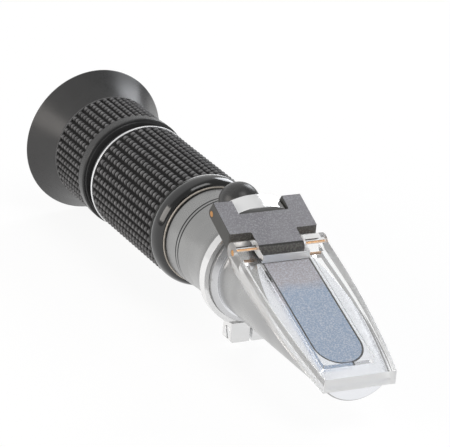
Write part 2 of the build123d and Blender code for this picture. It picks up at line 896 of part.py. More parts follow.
# Lens carrier: a block that slides up and down across the axis
carrier_front = spigot_rear + part_gap
carrier_rear = carrier_front + carrier_length
carrier_middle = (carrier_front + carrier_rear) / 2
strip_rear = carrier_rear + strip_thickness
with BuildPart() as lens_carrier:
    revolve(ring_face(carrier_front, carrier_rear, carrier_bore_radius, carrier_radius), axis=optical_axis)
    # The flat that the leaf spring presses on
    with BuildSketch(level_plane(-carrier_radius)):
        with Locations((0, carrier_middle)):
            Rectangle(2 * carrier_radius, carrier_flat_length)
    extrude(amount=carrier_radius - carrier_flat_drop, mode=Mode.SUBTRACT)
    # Holes for the strip's screws
    with BuildSketch(cross_plane(carrier_rear)):
        with Locations((-strip_screw_spread, strip_screw_height), (strip_screw_spread, strip_screw_height)):
            Circle(strip_screw_radius + thread_clearance)
    extrude(amount=strip_screw_depth + part_gap, mode=Mode.SUBTRACT)
lens_carrier.part.label = "lens_carrier"

# Leaf spring: a bowed strip under the carrier
with BuildPart() as carrier_spring:
    spring_foot = sqrt(barrel_bore_radius**2 - spring_half_span**2) - part_gap
    with BuildSketch(cross_plane(carrier_middle + spring_width / 2)):
        with BuildLine():
            ThreePointArc(
                (-spring_half_span, -spring_foot),
                (0, -spring_crest_drop - spring_thickness),
                (spring_half_span, -spring_foot),
            )
            Line((spring_half_span, -spring_foot), (spring_half_span, -spring_foot + spring_thickness))
            ThreePointArc(
                (spring_half_span, -spring_foot + spring_thickness),
                (0, -spring_crest_drop),
                (-spring_half_span, -spring_foot + spring_thickness),
            )
            Line((-spring_half_span, -spring_foot + spring_thickness), (-spring_half_span, -spring_foot))
        make_face()
    extrude(amount=spring_width)
carrier_spring.part.label = "carrier_spring"

# Bimetal strip: it bends with temperature and carries the lens cell in its eye
with BuildPart() as bimetal_strip:
    with BuildSketch(cross_plane(strip_rear)):
        Circle(strip_eye_radius)
        with Locations((0, strip_top / 2)):
            Rectangle(2 * strip_half_width, strip_top)
        Circle(strip_eye_bore, mode=Mode.SUBTRACT)
        with Locations((-strip_screw_spread, strip_screw_height), (strip_screw_spread, strip_screw_height)):
            Circle(strip_screw_radius + thread_clearance, mode=Mode.SUBTRACT)
    extrude(amount=strip_thickness)
bimetal_strip.part.label = "bimetal_strip"

with BuildPart() as bimetal_screws:
    with BuildSketch(cross_plane(strip_rear)):
        with Locations((-strip_screw_spread, strip_screw_height), (strip_screw_spread, strip_screw_height)):
            Circle(strip_screw_radius)
    extrude(amount=strip_thickness + strip_screw_depth)
    with BuildSketch(cross_plane(strip_rear + strip_screw_head)):
        with Locations((-strip_screw_spread, strip_screw_height), (strip_screw_spread, strip_screw_height)):
            Circle(strip_screw_head_radius)
    extrude(amount=strip_screw_head)
bimetal_screws.part.label = "bimetal_screws"

# Retainer: the threaded ring that keeps the carrier in place along the axis
retainer_front = carrier_rear + running_clearance
retainer_inner_radius = sqrt((strip_top + carrier_travel) ** 2 + strip_half_width**2) + moving_gap
with BuildPart() as carrier_retainer:
    revolve(
        ring_face(
            retainer_front,
            retainer_front + retainer_length,
            retainer_inner_radius,
            barrel_bore_radius - thread_clearance,
        ),
        axis=optical_axis,
    )
carrier_retainer.part.label = "carrier_retainer"

# Lens cell and objective lens, hung on the strip
cell_front = carrier_rear - cell_length
with BuildPart() as lens_cell:
    revolve(
        side_face(
            (cell_front, cell_lip_radius),
            (cell_front, cell_radius),
            (carrier_rear, cell_radius),
            (carrier_rear, cell_bore_radius),
            (cell_front + cell_lip, cell_bore_radius),
            (cell_front + cell_lip, cell_lip_radius),
        ),
        axis=optical_axis,
    )
lens_cell.part.label = "lens_cell"

with BuildPart() as objective_lens:
    objective_front = cell_front + cell_lip
    revolve(
        lens_face(
            objective_front,
            objective_edge,
            cell_bore_radius - seat_clearance,
            objective_clear_radius,
            objective_dome_height,
            objective_dome_height,
        ),
        axis=optical_axis,
    )
objective_lens.part.label = "objective_lens"

with BuildPart() as objective_ring:
    objective_rear = objective_front + objective_edge
    revolve(
        ring_face(
            objective_rear,
            objective_rear + objective_ring_length,
            cell_lip_radius,
            cell_bore_radius - thread_clearance,
        ),
        axis=optical_axis,
    )
objective_ring.part.label = "objective_ring"

# Baffle and reticle, in the barrel's bore
baffle_front = grip_front + baffle_from_grip_front
with BuildPart() as light_baffle:
    revolve(
        ring_face(
            baffle_front,
            baffle_front + baffle_length,
            baffle_aperture,
            barrel_bore_radius - thread_clearance,
        ),
        axis=optical_axis,
    )
light_baffle.part.label = "light_baffle"

reticle_holder_rear = grip_rear - reticle_from_grip_rear
reticle_holder_front = reticle_holder_rear - reticle_holder_length
reticle_front = reticle_holder_front + reticle_seat
with BuildPart() as reticle_holder:
    revolve(
        side_face(
            (reticle_holder_front, reticle_window),
            (reticle_holder_front, barrel_bore_radius - thread_clearance),
            (reticle_holder_rear, barrel_bore_radius - thread_clearance),
            (reticle_holder_rear, reticle_radius + seat_clearance),
            (reticle_front, reticle_radius + seat_clearance),
            (reticle_front, reticle_window),
        ),
        axis=optical_axis,
    )
reticle_holder.part.label = "reticle_holder"

with BuildPart() as reticle:
    reticle_rear = reticle_front + reticle_thickness
    revolve(ring_face(reticle_front, reticle_rear, 0, reticle_radius), axis=optical_axis)
reticle.part.label = "reticle"

with BuildPart() as reticle_ring:
    revolve(
        ring_face(reticle_rear, reticle_rear + reticle_ring_length, reticle_window, reticle_radius),
        axis=optical_axis,
    )
reticle_ring.part.label = "reticle_ring"

# Grip: black nose ring, two bright trim rings, the rubber sleeve and the dust collar
sleeve_bore = barrel_radius + seat_clearance
with BuildPart() as nose_ring:
    round_start = nose_front + nose_round_length
    with BuildSketch(side_plane):
        with BuildLine():
            Line((nose_rear, sleeve_bore), (nose_rear, grip_radius - moving_gap))
            Line((nose_rear, grip_radius - moving_gap), (round_start, grip_radius))
            EllipticalCenterArc(
                (round_start, nose_ring_tip_radius),
                nose_round_length,
                grip_radius - nose_ring_tip_radius,
                90,
                arc_size=90,
            )
            Line((nose_front, nose_ring_tip_radius), (nose_front, sleeve_bore))
            Line((nose_front, sleeve_bore), (nose_rear, sleeve_bore))
        make_face()
    revolve(axis=optical_axis)
nose_ring.part.label = "nose_ring"

with BuildPart() as front_trim_ring:
    revolve(ring_face(nose_rear, grip_front, sleeve_bore, grip_radius - part_gap), axis=optical_axis)
front_trim_ring.part.label = "front_trim_ring"

with BuildPart() as grip_sleeve:
    extrude(ribbed_plan(grip_rear, grip_ribs, sleeve_bore, grip_radius), amount=grip_length)
grip_sleeve.part.label = "grip_sleeve"

with BuildPart() as rear_trim_ring:
    revolve(ring_face(grip_rear, collar_front, sleeve_bore, grip_radius - part_gap), axis=optical_axis)
rear_trim_ring.part.label = "rear_trim_ring"

with BuildPart() as dust_collar:
    revolve(ring_face(collar_front, collar_rear, sleeve_bore, collar_radius), axis=optical_axis)
    with BuildSketch(side_plane):
        with Locations(
            (collar_front + collar_length / 3, collar_radius),
            (collar_rear - collar_length / 3, collar_radius),
        ):
            Rectangle(collar_groove, 2 * collar_groove)
    revolve(axis=optical_axis, mode=Mode.SUBTRACT)
dust_collar.part.label = "dust_collar"

# Focus ring: a black ring on the barrel's thread, with a web that drives the lens tube
web_front = thread_end + focus_travel_in + moving_gap
web_rear = web_front + focus_web_length
flange_start = web_rear + running_clearance
flange_end = flange_start + tube_flange_length
retainer_start = flange_end + running_clearance
focus_rear = knurl_rear - focus_rear_setback
with BuildPart() as focus_ring:
    revolve(
        side_face(
            (focus_front, focus_thread_radius + running_clearance),
            (focus_front, focus_rim_radius),
            (focus_rim_rear, focus_rim_radius),
            (focus_rim_rear, focus_core_radius),
            (focus_rear, focus_core_radius),
            (focus_rear, tube_flange_radius + running_clearance),
            (web_rear, tube_flange_radius + running_clearance),
            (web_rear, tube_radius + running_clearance),
            (web_front, tube_radius + running_clearance),
            (web_front, focus_thread_radius + running_clearance),
        ),
        axis=optical_axis,
    )
    rim_edges = focus_ring.edges().filter_by(GeomType.CIRCLE).filter_by(
        lambda edge: abs(edge.radius - focus_rim_radius) < part_gap
    )
    fillet(rim_edges, focus_rim_round)
focus_ring.part.label = "focus_ring"

with BuildPart() as eyepiece_retainer:
    retainer_end = retainer_start + eyepiece_retainer_length
    revolve(
        ring_face(retainer_start, retainer_end, eyepiece_bore_radius, tube_flange_radius),
        axis=optical_axis,
    )
eyepiece_retainer.part.label = "eyepiece_retainer"

# Lens tube: it slides without turning, kept straight by the guide screw in its slot
tube_front = collar_front - tube_front_reach
lock_ring_rear = flange_end
lock_ring_front = lock_ring_rear - lock_ring_length
eye_lens_rear = lock_ring_front
eye_lens_front = eye_lens_rear - eye_lens_edge
spacer_front = eye_lens_front - spacer_length
field_lens_front = spacer_front - field_lens_edge
ledge_front = field_lens_front - tube_ledge_length
seal_station = thread_end - seal_from_thread_end
with BuildPart() as lens_tube:
    revolve(
        side_face(
            (tube_front, tube_inner_radius),
            (tube_front, tube_radius),
            (flange_start, tube_radius),
            (flange_start, tube_flange_radius),
            (flange_end, tube_flange_radius),
            (flange_end, tube_inner_radius),
            (field_lens_front, tube_inner_radius),
            (field_lens_front, tube_ledge_radius),
            (ledge_front, tube_ledge_radius),
            (ledge_front, tube_inner_radius),
        ),
        axis=optical_axis,
    )
    # The slot for the guide screw
    slot_front = guide_station - focus_travel_out - guide_screw_radius - moving_gap
    slot_rear = guide_station + focus_travel_in + guide_screw_radius + moving_gap
    with BuildSketch(level_plane(0)):
        with Locations((0, (slot_front + slot_rear) / 2)):
            SlotOverall(slot_rear - slot_front, 2 * (guide_screw_radius + running_clearance), rotation=90)
    extrude(amount=2 * tube_radius, mode=Mode.SUBTRACT)
    # The seal's groove
    groove_half = seal_minor_radius + part_gap
    revolve(
        ring_face(
            seal_station - groove_half,
            seal_station + groove_half,
            tube_radius - 2 * seal_minor_radius - part_gap,
            tube_radius + part_gap,
        ),
        axis=optical_axis,
        mode=Mode.SUBTRACT,
    )
lens_tube.part.label = "lens_tube"

with BuildPart() as focus_seal:
    with BuildSketch(side_plane):
        with Locations((seal_station, tube_radius - seal_minor_radius)):
            Circle(seal_minor_radius)
    revolve(axis=optical_axis)
focus_seal.part.label = "focus_seal"

with BuildPart() as guide_screw:
    with BuildSketch(level_plane(tube_inner_radius + moving_gap)):
        with Locations((0, guide_station)):
            Circle(guide_screw_radius)
    extrude(amount=barrel_radius - guide_head_length - tube_inner_radius - moving_gap)
    with BuildSketch(level_plane(barrel_radius - guide_head_length)):
        with Locations((0, guide_station)):
            Circle(guide_head_radius)
    extrude(amount=guide_head_length - 2 * part_gap)
guide_screw.part.label = "guide_screw"

lens_radius = tube_inner_radius - seat_clearance
with BuildPart() as field_lens:
    revolve(
        lens_face(
            field_lens_front,
            field_lens_edge,
            lens_radius,
            lens_clear_radius,
            flat_dome_height,
            flat_dome_height,
        ),
        axis=optical_axis,
    )
field_lens.part.label = "field_lens"

with BuildPart() as lens_spacer:
    revolve(
        ring_face(spacer_front, eye_lens_front, lens_radius - spacer_wall, lens_radius), axis=optical_axis
    )
lens_spacer.part.label = "lens_spacer"

with BuildPart() as eye_lens:
    revolve(
        lens_face(
            eye_lens_front,
            eye_lens_edge,
            lens_radius,
            lens_clear_radius,
            steep_dome_height,
            flat_dome_height,
        ),
        axis=optical_axis,
    )
eye_lens.part.label = "eye_lens"

with BuildPart() as lens_lock_ring:
    revolve(ring_face(lock_ring_front, lock_ring_rear, lock_ring_inner, lens_radius), axis=optical_axis)
lens_lock_ring.part.label = "lens_lock_ring"

# Eyecup: one rubber moulding, a ribbed sleeve over the focus ring and an open flare behind it
with BuildPart() as eyecup:
    sleeve_inner = focus_core_radius + seat_clearance
    sleeve_root = knurl_radius - rib_height
    sleeve_front = focus_rim_rear + part_gap
    flare_mid = (knurl_rear + eyecup_flare_length / 2, (knurl_radius + eyecup_radius) / 2 - flare_dip_depth)
    with BuildSketch(side_plane):
        with BuildLine():
            Polyline(
                (focus_rear + part_gap, eyecup_lip_radius),
                (focus_rear + part_gap, sleeve_inner),
                (sleeve_front, sleeve_inner),
                (sleeve_front, sleeve_root),
                (knurl_rear, sleeve_root),
                (knurl_rear, knurl_radius),
            )
            ThreePointArc((knurl_rear, knurl_radius), flare_mid, (eyecup_rear, eyecup_radius))
            Line((eyecup_rear, eyecup_radius), (eyecup_rear, eyecup_radius - eyecup_edge_wall))
            Polyline(
                (eyecup_rear, eyecup_radius - eyecup_edge_wall),
                (knurl_rear + eyecup_wall, knurl_radius - eyecup_wall),
                (focus_rear + part_gap + eyecup_lip_length, eyecup_lip_radius),
                (focus_rear + part_gap, eyecup_lip_radius),
            )
        make_face()
    revolve(axis=optical_axis)
    sleeve_plan = ribbed_plan(knurl_rear, eyecup_ribs, sleeve_inner, knurl_radius)
    extrude(sleeve_plan, amount=knurl_rear - sleeve_front)
eyecup.part.label = "eyecup"

pieces = [
    prism_holder, spigot_seal, prism, prism_seal, light_stop,
    clamp_ring, clamp_screw, hinge_arm, rear_hinge_pin, front_hinge_pin, daylight_plate,
    barrel, calibration_screw, calibration_cap,
    lens_carrier, carrier_spring, bimetal_strip, bimetal_screws, carrier_retainer,
    lens_cell, objective_lens, objective_ring,
    light_baffle, reticle_holder, reticle, reticle_ring,
    nose_ring, front_trim_ring, grip_sleeve, rear_trim_ring, dust_collar,
    focus_ring, eyepiece_retainer, lens_tube, focus_seal, guide_screw,
    field_lens, lens_spacer, eye_lens, lens_lock_ring, eyecup,
]
for piece in pieces:
    export_step(piece.part, f"parts/{piece.part.label}.step")
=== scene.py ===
import json
from math import cos, pi, radians, sin

import bmesh
import bpy
from mathutils import Matrix, Vector


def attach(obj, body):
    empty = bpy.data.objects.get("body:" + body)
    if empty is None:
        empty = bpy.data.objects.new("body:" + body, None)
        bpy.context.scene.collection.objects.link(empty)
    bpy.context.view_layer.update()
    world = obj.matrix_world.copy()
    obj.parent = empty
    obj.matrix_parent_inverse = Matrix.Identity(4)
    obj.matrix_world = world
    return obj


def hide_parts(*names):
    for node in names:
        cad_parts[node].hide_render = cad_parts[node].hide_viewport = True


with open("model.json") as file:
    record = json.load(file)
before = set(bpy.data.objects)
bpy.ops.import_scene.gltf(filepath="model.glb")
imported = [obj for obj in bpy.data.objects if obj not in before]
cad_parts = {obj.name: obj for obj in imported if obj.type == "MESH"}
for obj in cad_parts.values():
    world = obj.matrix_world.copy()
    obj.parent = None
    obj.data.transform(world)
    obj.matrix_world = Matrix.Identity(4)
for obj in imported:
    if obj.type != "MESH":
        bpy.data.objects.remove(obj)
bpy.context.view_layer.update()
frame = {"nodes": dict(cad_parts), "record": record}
bodies = frame["record"]["behaviour"]["bodies"]
mm = 0.001
axisHeight = 20.2  # the optical axis runs along Y at this height, in millimetres
print("frame loaded:", len(frame["nodes"]), "nodes")


# Camera, light and floor
view = {"place": (-0.350109, -0.638862, 0.315729), "turn": -28.84348, "rise": 21.74022,
        "roll": 5.21022, "lens": 245.70, "sensor": 36.0, "clip": (0.01, 20)}


def placeCamera():
    turn, rise, roll = (radians(view[key]) for key in ("turn", "rise", "roll"))
    back = Vector((sin(turn) * cos(rise), -cos(turn) * cos(rise), sin(rise)))
    right = (-back).cross(Vector((0, 0, 1))).normalized()
    up = right.cross(-back)
    across = right * cos(roll) + up * sin(roll)
    upwards = up * cos(roll) - right * sin(roll)
    lens = bpy.data.cameras.new("bench_camera")
    lens.lens, lens.sensor_width, lens.sensor_fit = view["lens"], view["sensor"], "HORIZONTAL"
    lens.clip_start, lens.clip_end = view["clip"]
    camera = bpy.data.objects.new("bench_camera", lens)
    bpy.context.scene.collection.objects.link(camera)
    turned = Matrix((across, upwards, back)).transposed().to_4x4()
    camera.matrix_world = Matrix.Translation(view["place"]) @ turned
    bpy.context.scene.camera = camera


lamps = {
    "right_softbox": {"place": (0.63, 0.48, 0.44), "size": (0.30, 0.44), "watts": 2.2,
                      "tint": (0.94, 0.96, 1.0)},
    "left_softbox": {"place": (-0.80, 0.0, 0.31), "size": (0.80, 0.38), "watts": 3.2,
                     "tint": (1.0, 0.95, 0.90)},
    "high_front": {"place": (0.10, -0.45, 0.95), "size": (0.55, 0.55), "watts": 2.6,
                   "tint": (1.0, 1.0, 1.0)},
}


def placeLamps():
    for name, lamp in lamps.items():
        light = bpy.data.lights.new(name, "AREA")
        light.shape, light.energy, light.color = "RECTANGLE", lamp["watts"], lamp["tint"]
        light.size, light.size_y = lamp["size"]
        holder = bpy.data.objects.new(name, light)
        bpy.context.scene.collection.objects.link(holder)
        holder.location = lamp["place"]
        aim = Vector((0, 0, axisHeight * mm)) - Vector(lamp["place"])
        holder.rotation_euler = aim.to_track_quat("-Z", "Y").to_euler()


def addNode(tree, kind, **settings):
    made = tree.nodes.new(kind)
    for name, value in settings.items():
        setattr(made, name, value)
    return made


def mathNode(tree, operation, first, second=None):
    made = addNode(tree, "ShaderNodeMath", operation=operation)
    for socket, value in zip(made.inputs, (first, second)):
        if hasattr(value, "is_output"):
            tree.links.new(value, socket)
        elif value is not None:
            socket.default_value = value
    return made.outputs[0]


def seenDirectly(tree):
    # The first is 1 for rays from the camera or through glass, the second for rays from a gloss
    path = addNode(tree, "ShaderNodeLightPath")
    straight = mathNode(tree, "MAXIMUM", path.outputs["Is Camera Ray"], path.outputs["Is Transmission Ray"])
    return straight, path.outputs["Is Glossy Ray"]


surroundings = {"light": 0.34, "white": 1.0, "glossDim": 0.37, "glossBright": 1.0,
                "backdrop": (-0.30, 0.84, 0.46), "edge": (0.46, 0.74)}


def makeWorld():
    world = bpy.data.worlds.new("white_studio")
    bpy.context.scene.world = world
    world.use_nodes = True
    tree = world.node_tree
    tree.nodes.clear()
    straight, glossy = seenDirectly(tree)
    # What a gloss shows: a white backdrop behind the object, and a dimmer room elsewhere
    coordinates = addNode(tree, "ShaderNodeTexCoord")
    toBackdrop = addNode(tree, "ShaderNodeVectorMath", operation="DOT_PRODUCT")
    toBackdrop.inputs[1].default_value = Vector(surroundings["backdrop"]).normalized()
    tree.links.new(coordinates.outputs["Generated"], toBackdrop.inputs[0])
    room = addNode(tree, "ShaderNodeMapRange", interpolation_type="SMOOTHSTEP")
    tree.links.new(toBackdrop.outputs["Value"], room.inputs["Value"])
    for name, value in (("From Min", surroundings["edge"][0]), ("From Max", surroundings["edge"][1]),
                        ("To Min", surroundings["glossDim"]), ("To Max", surroundings["glossBright"])):
        room.inputs[name].default_value = value
    gloss = mathNode(tree, "MULTIPLY", room.outputs[0], glossy)
    white = mathNode(tree, "MULTIPLY", straight, surroundings["white"])
    both = mathNode(tree, "MAXIMUM", gloss, white)
    seen = mathNode(tree, "MAXIMUM", straight, glossy)
    rest = mathNode(tree, "MULTIPLY", mathNode(tree, "SUBTRACT", 1.0, seen), surroundings["light"])
    strength = mathNode(tree, "ADD", both, rest)
    background = addNode(tree, "ShaderNodeBackground")
    tree.links.new(strength, background.inputs["Strength"])
    output = addNode(tree, "ShaderNodeOutputWorld")
    tree.links.new(background.outputs[0], output.inputs["Surface"])


floorLook = {"size": 6.0, "glow": 0.91, "shade": 0.13, "bounce": 0.72}


def makeFloor():
    mesh = bpy.data.meshes.new("bench_top")
    half = floorLook["size"] / 2
    corners = [(-half, -half, 0), (half, -half, 0), (half, half, 0), (-half, half, 0)]
    mesh.from_pydata(corners, [], [(0, 1, 2, 3)])
    floorPiece = bpy.data.objects.new("bench_top", mesh)
    bpy.context.scene.collection.objects.link(floorPiece)
    material = bpy.data.materials.new("white_bench")
    material.use_nodes = True
    tree = material.node_tree
    tree.nodes.clear()
    straight, glossy = seenDirectly(tree)
    seen = mathNode(tree, "MAXIMUM", straight, glossy)
    glow = addNode(tree, "ShaderNodeEmission")
    glow.inputs["Strength"].default_value = floorLook["glow"]
    shade = addNode(tree, "ShaderNodeBsdfDiffuse")
    shade.inputs["Color"].default_value = (floorLook["shade"],) * 3 + (1,)
    bounce = addNode(tree, "ShaderNodeBsdfDiffuse")
    bounce.inputs["Color"].default_value = (floorLook["bounce"],) * 3 + (1,)
    pale = addNode(tree, "ShaderNodeAddShader")
    mix = addNode(tree, "ShaderNodeMixShader")
    output = addNode(tree, "ShaderNodeOutputMaterial")
    tree.links.new(glow.outputs[0], pale.inputs[0])
    tree.links.new(shade.outputs[0], pale.inputs[1])
    tree.links.new(seen, mix.inputs[0])
    tree.links.new(bounce.outputs[0], mix.inputs[1])
    tree.links.new(pale.outputs[0], mix.inputs[2])
    tree.links.new(mix.outputs[0], output.inputs["Surface"])
    mesh.materials.append(material)


placeCamera()
placeLamps()
makeWorld()
makeFloor()
bpy.context.scene.view_settings.view_transform = "Standard"
print("camera, light and floor set")


# Finishes: colours are linear, lengths are in millimetres
plainLook = {"colour": (0.5, 0.5, 0.5), "other": None, "patch": 0.12, "grain": 3.0, "stretch": (1, 1, 1),
             "rough": (0.3, 0.5), "bump": 0.15, "depth": 0.02, "metallic": 0.0, "ior": 1.5,
             "coat": 0.0, "coatRough": 0.1, "specks": None, "wear": None, "edge": 0.12}

looks = {
    "satin_metal": {"colour": (0.475, 0.475, 0.47), "other": (0.40, 0.40, 0.40), "patch": 0.09, "grain": 7.0,
                    "stretch": (0.35, 2.2, 0.35), "rough": (0.24, 0.34), "bump": 0.12, "depth": 0.006,
                    "metallic": 1.0, "wear": ((0.80, 0.80, 0.80), 0.35)},
    "chrome": {"colour": (0.86, 0.86, 0.86), "other": (0.78, 0.785, 0.795), "grain": 2.0,
               "rough": (0.05, 0.13), "bump": 0.08, "depth": 0.006, "metallic": 1.0},
    "ring_chrome": {"colour": (0.97, 0.97, 0.97), "other": (0.92, 0.925, 0.93), "grain": 2.0,
                    "rough": (0.08, 0.16), "bump": 0.08, "depth": 0.006, "metallic": 0.6},
    "bright_aluminium": {"colour": (0.97, 0.97, 0.97), "other": (0.90, 0.90, 0.91), "grain": 9.0,
                         "stretch": (0.3, 3.0, 0.3), "rough": (0.25, 0.36), "bump": 0.1, "depth": 0.005,
                         "metallic": 1.0},
    # The champagne colour is a painted reflection, worn by the lip in front of the nose ring
    "champagne_highlight": {"colour": (0.80, 0.74, 0.66), "other": (0.70, 0.64, 0.56), "grain": 9.0,
                  "stretch": (0.3, 3.0, 0.3), "rough": (0.25, 0.4), "bump": 0.1, "depth": 0.005,
                  "metallic": 0.35},
    "dark_plastic": {"colour": (0.330, 0.326, 0.352), "other": (0.265, 0.262, 0.285), "grain": 3.6,
                     "rough": (0.42, 0.62), "bump": 0.6, "depth": 0.04,
                     "specks": ((0.46, 0.46, 0.50), 0.52, 2.9), "wear": ((0.020, 0.020, 0.018), 0.85)},
    "brass": {"colour": (0.62, 0.33, 0.12), "other": (0.50, 0.24, 0.08), "grain": 5.0, "rough": (0.2, 0.38),
              "bump": 0.12, "depth": 0.01, "metallic": 1.0},
    "black_rubber": {"colour": (0.054, 0.054, 0.0545), "other": (0.066, 0.066, 0.067), "patch": 0.07,
                     "grain": 6.0, "rough": (0.24, 0.38), "bump": 0.22, "depth": 0.012, "ior": 1.42,
                     "wear": ((0.060, 0.059, 0.058), 0.6)},
    "black_anodised": {"colour": (0.014, 0.014, 0.015), "other": (0.022, 0.022, 0.024), "grain": 8.0,
                       "stretch": (0.5, 2.0, 0.5), "rough": (0.34, 0.50), "bump": 0.15, "depth": 0.006,
                       "wear": ((0.06, 0.06, 0.06), 0.4)},
    "steel": {"colour": (0.50, 0.50, 0.51), "other": (0.42, 0.42, 0.43), "grain": 6.0, "rough": (0.18, 0.34),
              "bump": 0.15, "depth": 0.008, "metallic": 1.0},
    "satin_black": {"colour": (0.052, 0.052, 0.053), "other": (0.064, 0.064, 0.065), "grain": 4.0,
                    "rough": (0.20, 0.32), "bump": 0.10, "depth": 0.008, "ior": 1.42,
                    "wear": ((0.10, 0.10, 0.098), 0.5)},
    "gloss_black": {"colour": (0.008, 0.008, 0.0085), "other": (0.014, 0.014, 0.014), "grain": 2.5,
                    "rough": (0.08, 0.16), "bump": 0.05, "depth": 0.01, "ior": 1.6, "coat": 0.3,
                    "coatRough": 0.03, "wear": ((0.04, 0.04, 0.038), 0.3)},
}


def mixColours(tree, share, first, second):
    made = addNode(tree, "ShaderNodeMix", data_type="RGBA")
    for socket, value in ((made.inputs[0], share), (made.inputs[6], first), (made.inputs[7], second)):
        if hasattr(value, "is_output"):
            tree.links.new(value, socket)
        elif isinstance(value, (int, float)):
            socket.default_value = value
        else:
            socket.default_value = (*value, 1)
    return made.outputs[2]


def spread(tree, value, low, high, toLow=0.0, toHigh=1.0):
    made = addNode(tree, "ShaderNodeMapRange")
    tree.links.new(value, made.inputs["Value"])
    for name, number in (("From Min", low), ("From Max", high), ("To Min", toLow), ("To Max", toHigh)):
        made.inputs[name].default_value = number
    return made.outputs[0]


def noise(tree, place, scale, detail=3.0, roughness=0.55):
    made = addNode(tree, "ShaderNodeTexNoise")
    made.inputs["Scale"].default_value = scale
    made.inputs["Detail"].default_value = detail
    made.inputs["Roughness"].default_value = roughness
    tree.links.new(place, made.inputs["Vector"])
    return made.outputs[0]


def millimetres(tree, stretch=(1, 1, 1)):
    coordinates = addNode(tree, "ShaderNodeTexCoord")
    scaled = addNode(tree, "ShaderNodeMapping")
    scaled.inputs["Scale"].default_value = [1000 * share for share in stretch]
    tree.links.new(coordinates.outputs["Object"], scaled.inputs["Vector"])
    return scaled.outputs[0]


def axesOf(tree, place):
    split = addNode(tree, "ShaderNodeSeparateXYZ")
    tree.links.new(place, split.inputs[0])
    return split.outputs


# Where each pattern of a finish starts and ends in its noise, and how strongly it shows
pattern = {"patches": (0.35, 0.65), "grain": (0.3, 0.7), "grainShare": 0.35, "speckSoftness": 0.09,
           "speckShare": 0.8, "gloss": (0.35, 0.65), "bevelSamples": 4, "edge": (0.985, 0.90),
           "handled": (0.3, 0.6), "handledShare": (0.4, 1.0)}


def makeFinish(name, changes, paint=None):
    # A principled finish with patches of colour, fine grain, uneven gloss and worn edges
    look = {**plainLook, **changes}
    material = bpy.data.materials.new(name)
    material.use_nodes = True
    tree = material.node_tree
    tree.nodes.clear()
    shader = addNode(tree, "ShaderNodeBsdfPrincipled")
    output = addNode(tree, "ShaderNodeOutputMaterial")
    tree.links.new(shader.outputs[0], output.inputs["Surface"])
    place = millimetres(tree)
    grain = noise(tree, millimetres(tree, look["stretch"]), look["grain"])
    patches = noise(tree, place, look["patch"], 2.0)
    other = look["other"] or look["colour"]
    colour = mixColours(tree, spread(tree, patches, *pattern["patches"]), look["colour"], other)
    grained = spread(tree, grain, *pattern["grain"], 0.0, pattern["grainShare"])
    colour = mixColours(tree, grained, colour, other)
    if look["specks"]:
        tint, threshold, scale = look["specks"]
        dots = noise(tree, place, scale, 1.0)
        dotted = spread(tree, dots, threshold, threshold + pattern["speckSoftness"],
                        0.0, pattern["speckShare"])
        colour = mixColours(tree, dotted, colour, tint)
    both = mathNode(tree, "ADD", mathNode(tree, "MULTIPLY", grain, 0.5),
                    mathNode(tree, "MULTIPLY", patches, 0.5))
    roughness = spread(tree, both, *pattern["gloss"], *look["rough"])
    bevel = addNode(tree, "ShaderNodeBevel", samples=pattern["bevelSamples"])
    bevel.inputs["Radius"].default_value = look["edge"] * mm
    if look["wear"]:
        tint, share = look["wear"]
        geometry = addNode(tree, "ShaderNodeNewGeometry")
        dot = addNode(tree, "ShaderNodeVectorMath", operation="DOT_PRODUCT")
        tree.links.new(bevel.outputs[0], dot.inputs[0])
        tree.links.new(geometry.outputs["Normal"], dot.inputs[1])
        edge = spread(tree, dot.outputs["Value"], *pattern["edge"], 0.0, share)
        handled = spread(tree, patches, *pattern["handled"], *pattern["handledShare"])
        worn = mathNode(tree, "MULTIPLY", edge, handled)
        colour = mixColours(tree, worn, colour, tint)
    if paint:
        colour, roughness = paint(tree, place, colour, roughness)
    bump = addNode(tree, "ShaderNodeBump")
    bump.inputs["Strength"].default_value = look["bump"]
    bump.inputs["Distance"].default_value = look["depth"] * mm
    tree.links.new(grain, bump.inputs["Height"])
    tree.links.new(bevel.outputs[0], bump.inputs["Normal"])
    tree.links.new(colour, shader.inputs["Base Color"])
    tree.links.new(roughness, shader.inputs["Roughness"])
    tree.links.new(bump.outputs[0], shader.inputs["Normal"])
    shader.inputs["Metallic"].default_value = look["metallic"]
    shader.inputs["IOR"].default_value = look["ior"]
    shader.inputs["Coat Weight"].default_value = look["coat"]
    shader.inputs["Coat Roughness"].default_value = look["coatRough"]
    return material


barrelPaint = {"stripes": ((-2.78, 0.42), (-1.66, 0.42), (3.66, 0.85)), "softness": 0.05,
               "blackFrom": 44.0, "dark": (0.035, 0.035, 0.036)}


def paintBarrel(tree, place, colour, roughness):
    # Dark lines round the barrel, and the barrel painted black towards its rear, behind the grip
    along = axesOf(tree, place)["Y"]
    marks = mathNode(tree, "GREATER_THAN", along, barrelPaint["blackFrom"])
    for station, width in barrelPaint["stripes"]:
        near = mathNode(tree, "ABSOLUTE", mathNode(tree, "SUBTRACT", along, station))
        stripe = spread(tree, near, width / 2, width / 2 + barrelPaint["softness"], 1.0, 0.0)
        marks = mathNode(tree, "MAXIMUM", marks, stripe)
    return mixColours(tree, marks, colour, barrelPaint["dark"]), roughness


# The dark colour is painted shade on the left side of the front trim
trimShadePaint = {"dark": (0.05, 0.05, 0.048), "from": -7.0, "to": -1.0}


def paintTrimShade(tree, place, colour, roughness):
    # Painted shade: the front trim line is painted dark on its left side
    litSide = spread(tree, axesOf(tree, place)["X"], trimShadePaint["from"], trimShadePaint["to"])
    return mixColours(tree, litSide, trimShadePaint["dark"], colour), roughness


# The pit colour is painted shade and the crest colour a painted highlight, blended by height between the rise
# radii
teethShadePaint = {"rise": (14.42, 14.95), "pitShade": (0.010, 0.010, 0.010), "crest": (0.27, 0.268, 0.275),
              "dull": 0.95, "eyecupFrom": 50.0, "eyecupExtra": 0.40, "outer": 15.42, "rear": 67.2,
              "wearScale": 0.9, "wear": (0.3, 0.65), "wearShare": (0.55, 1.1)}


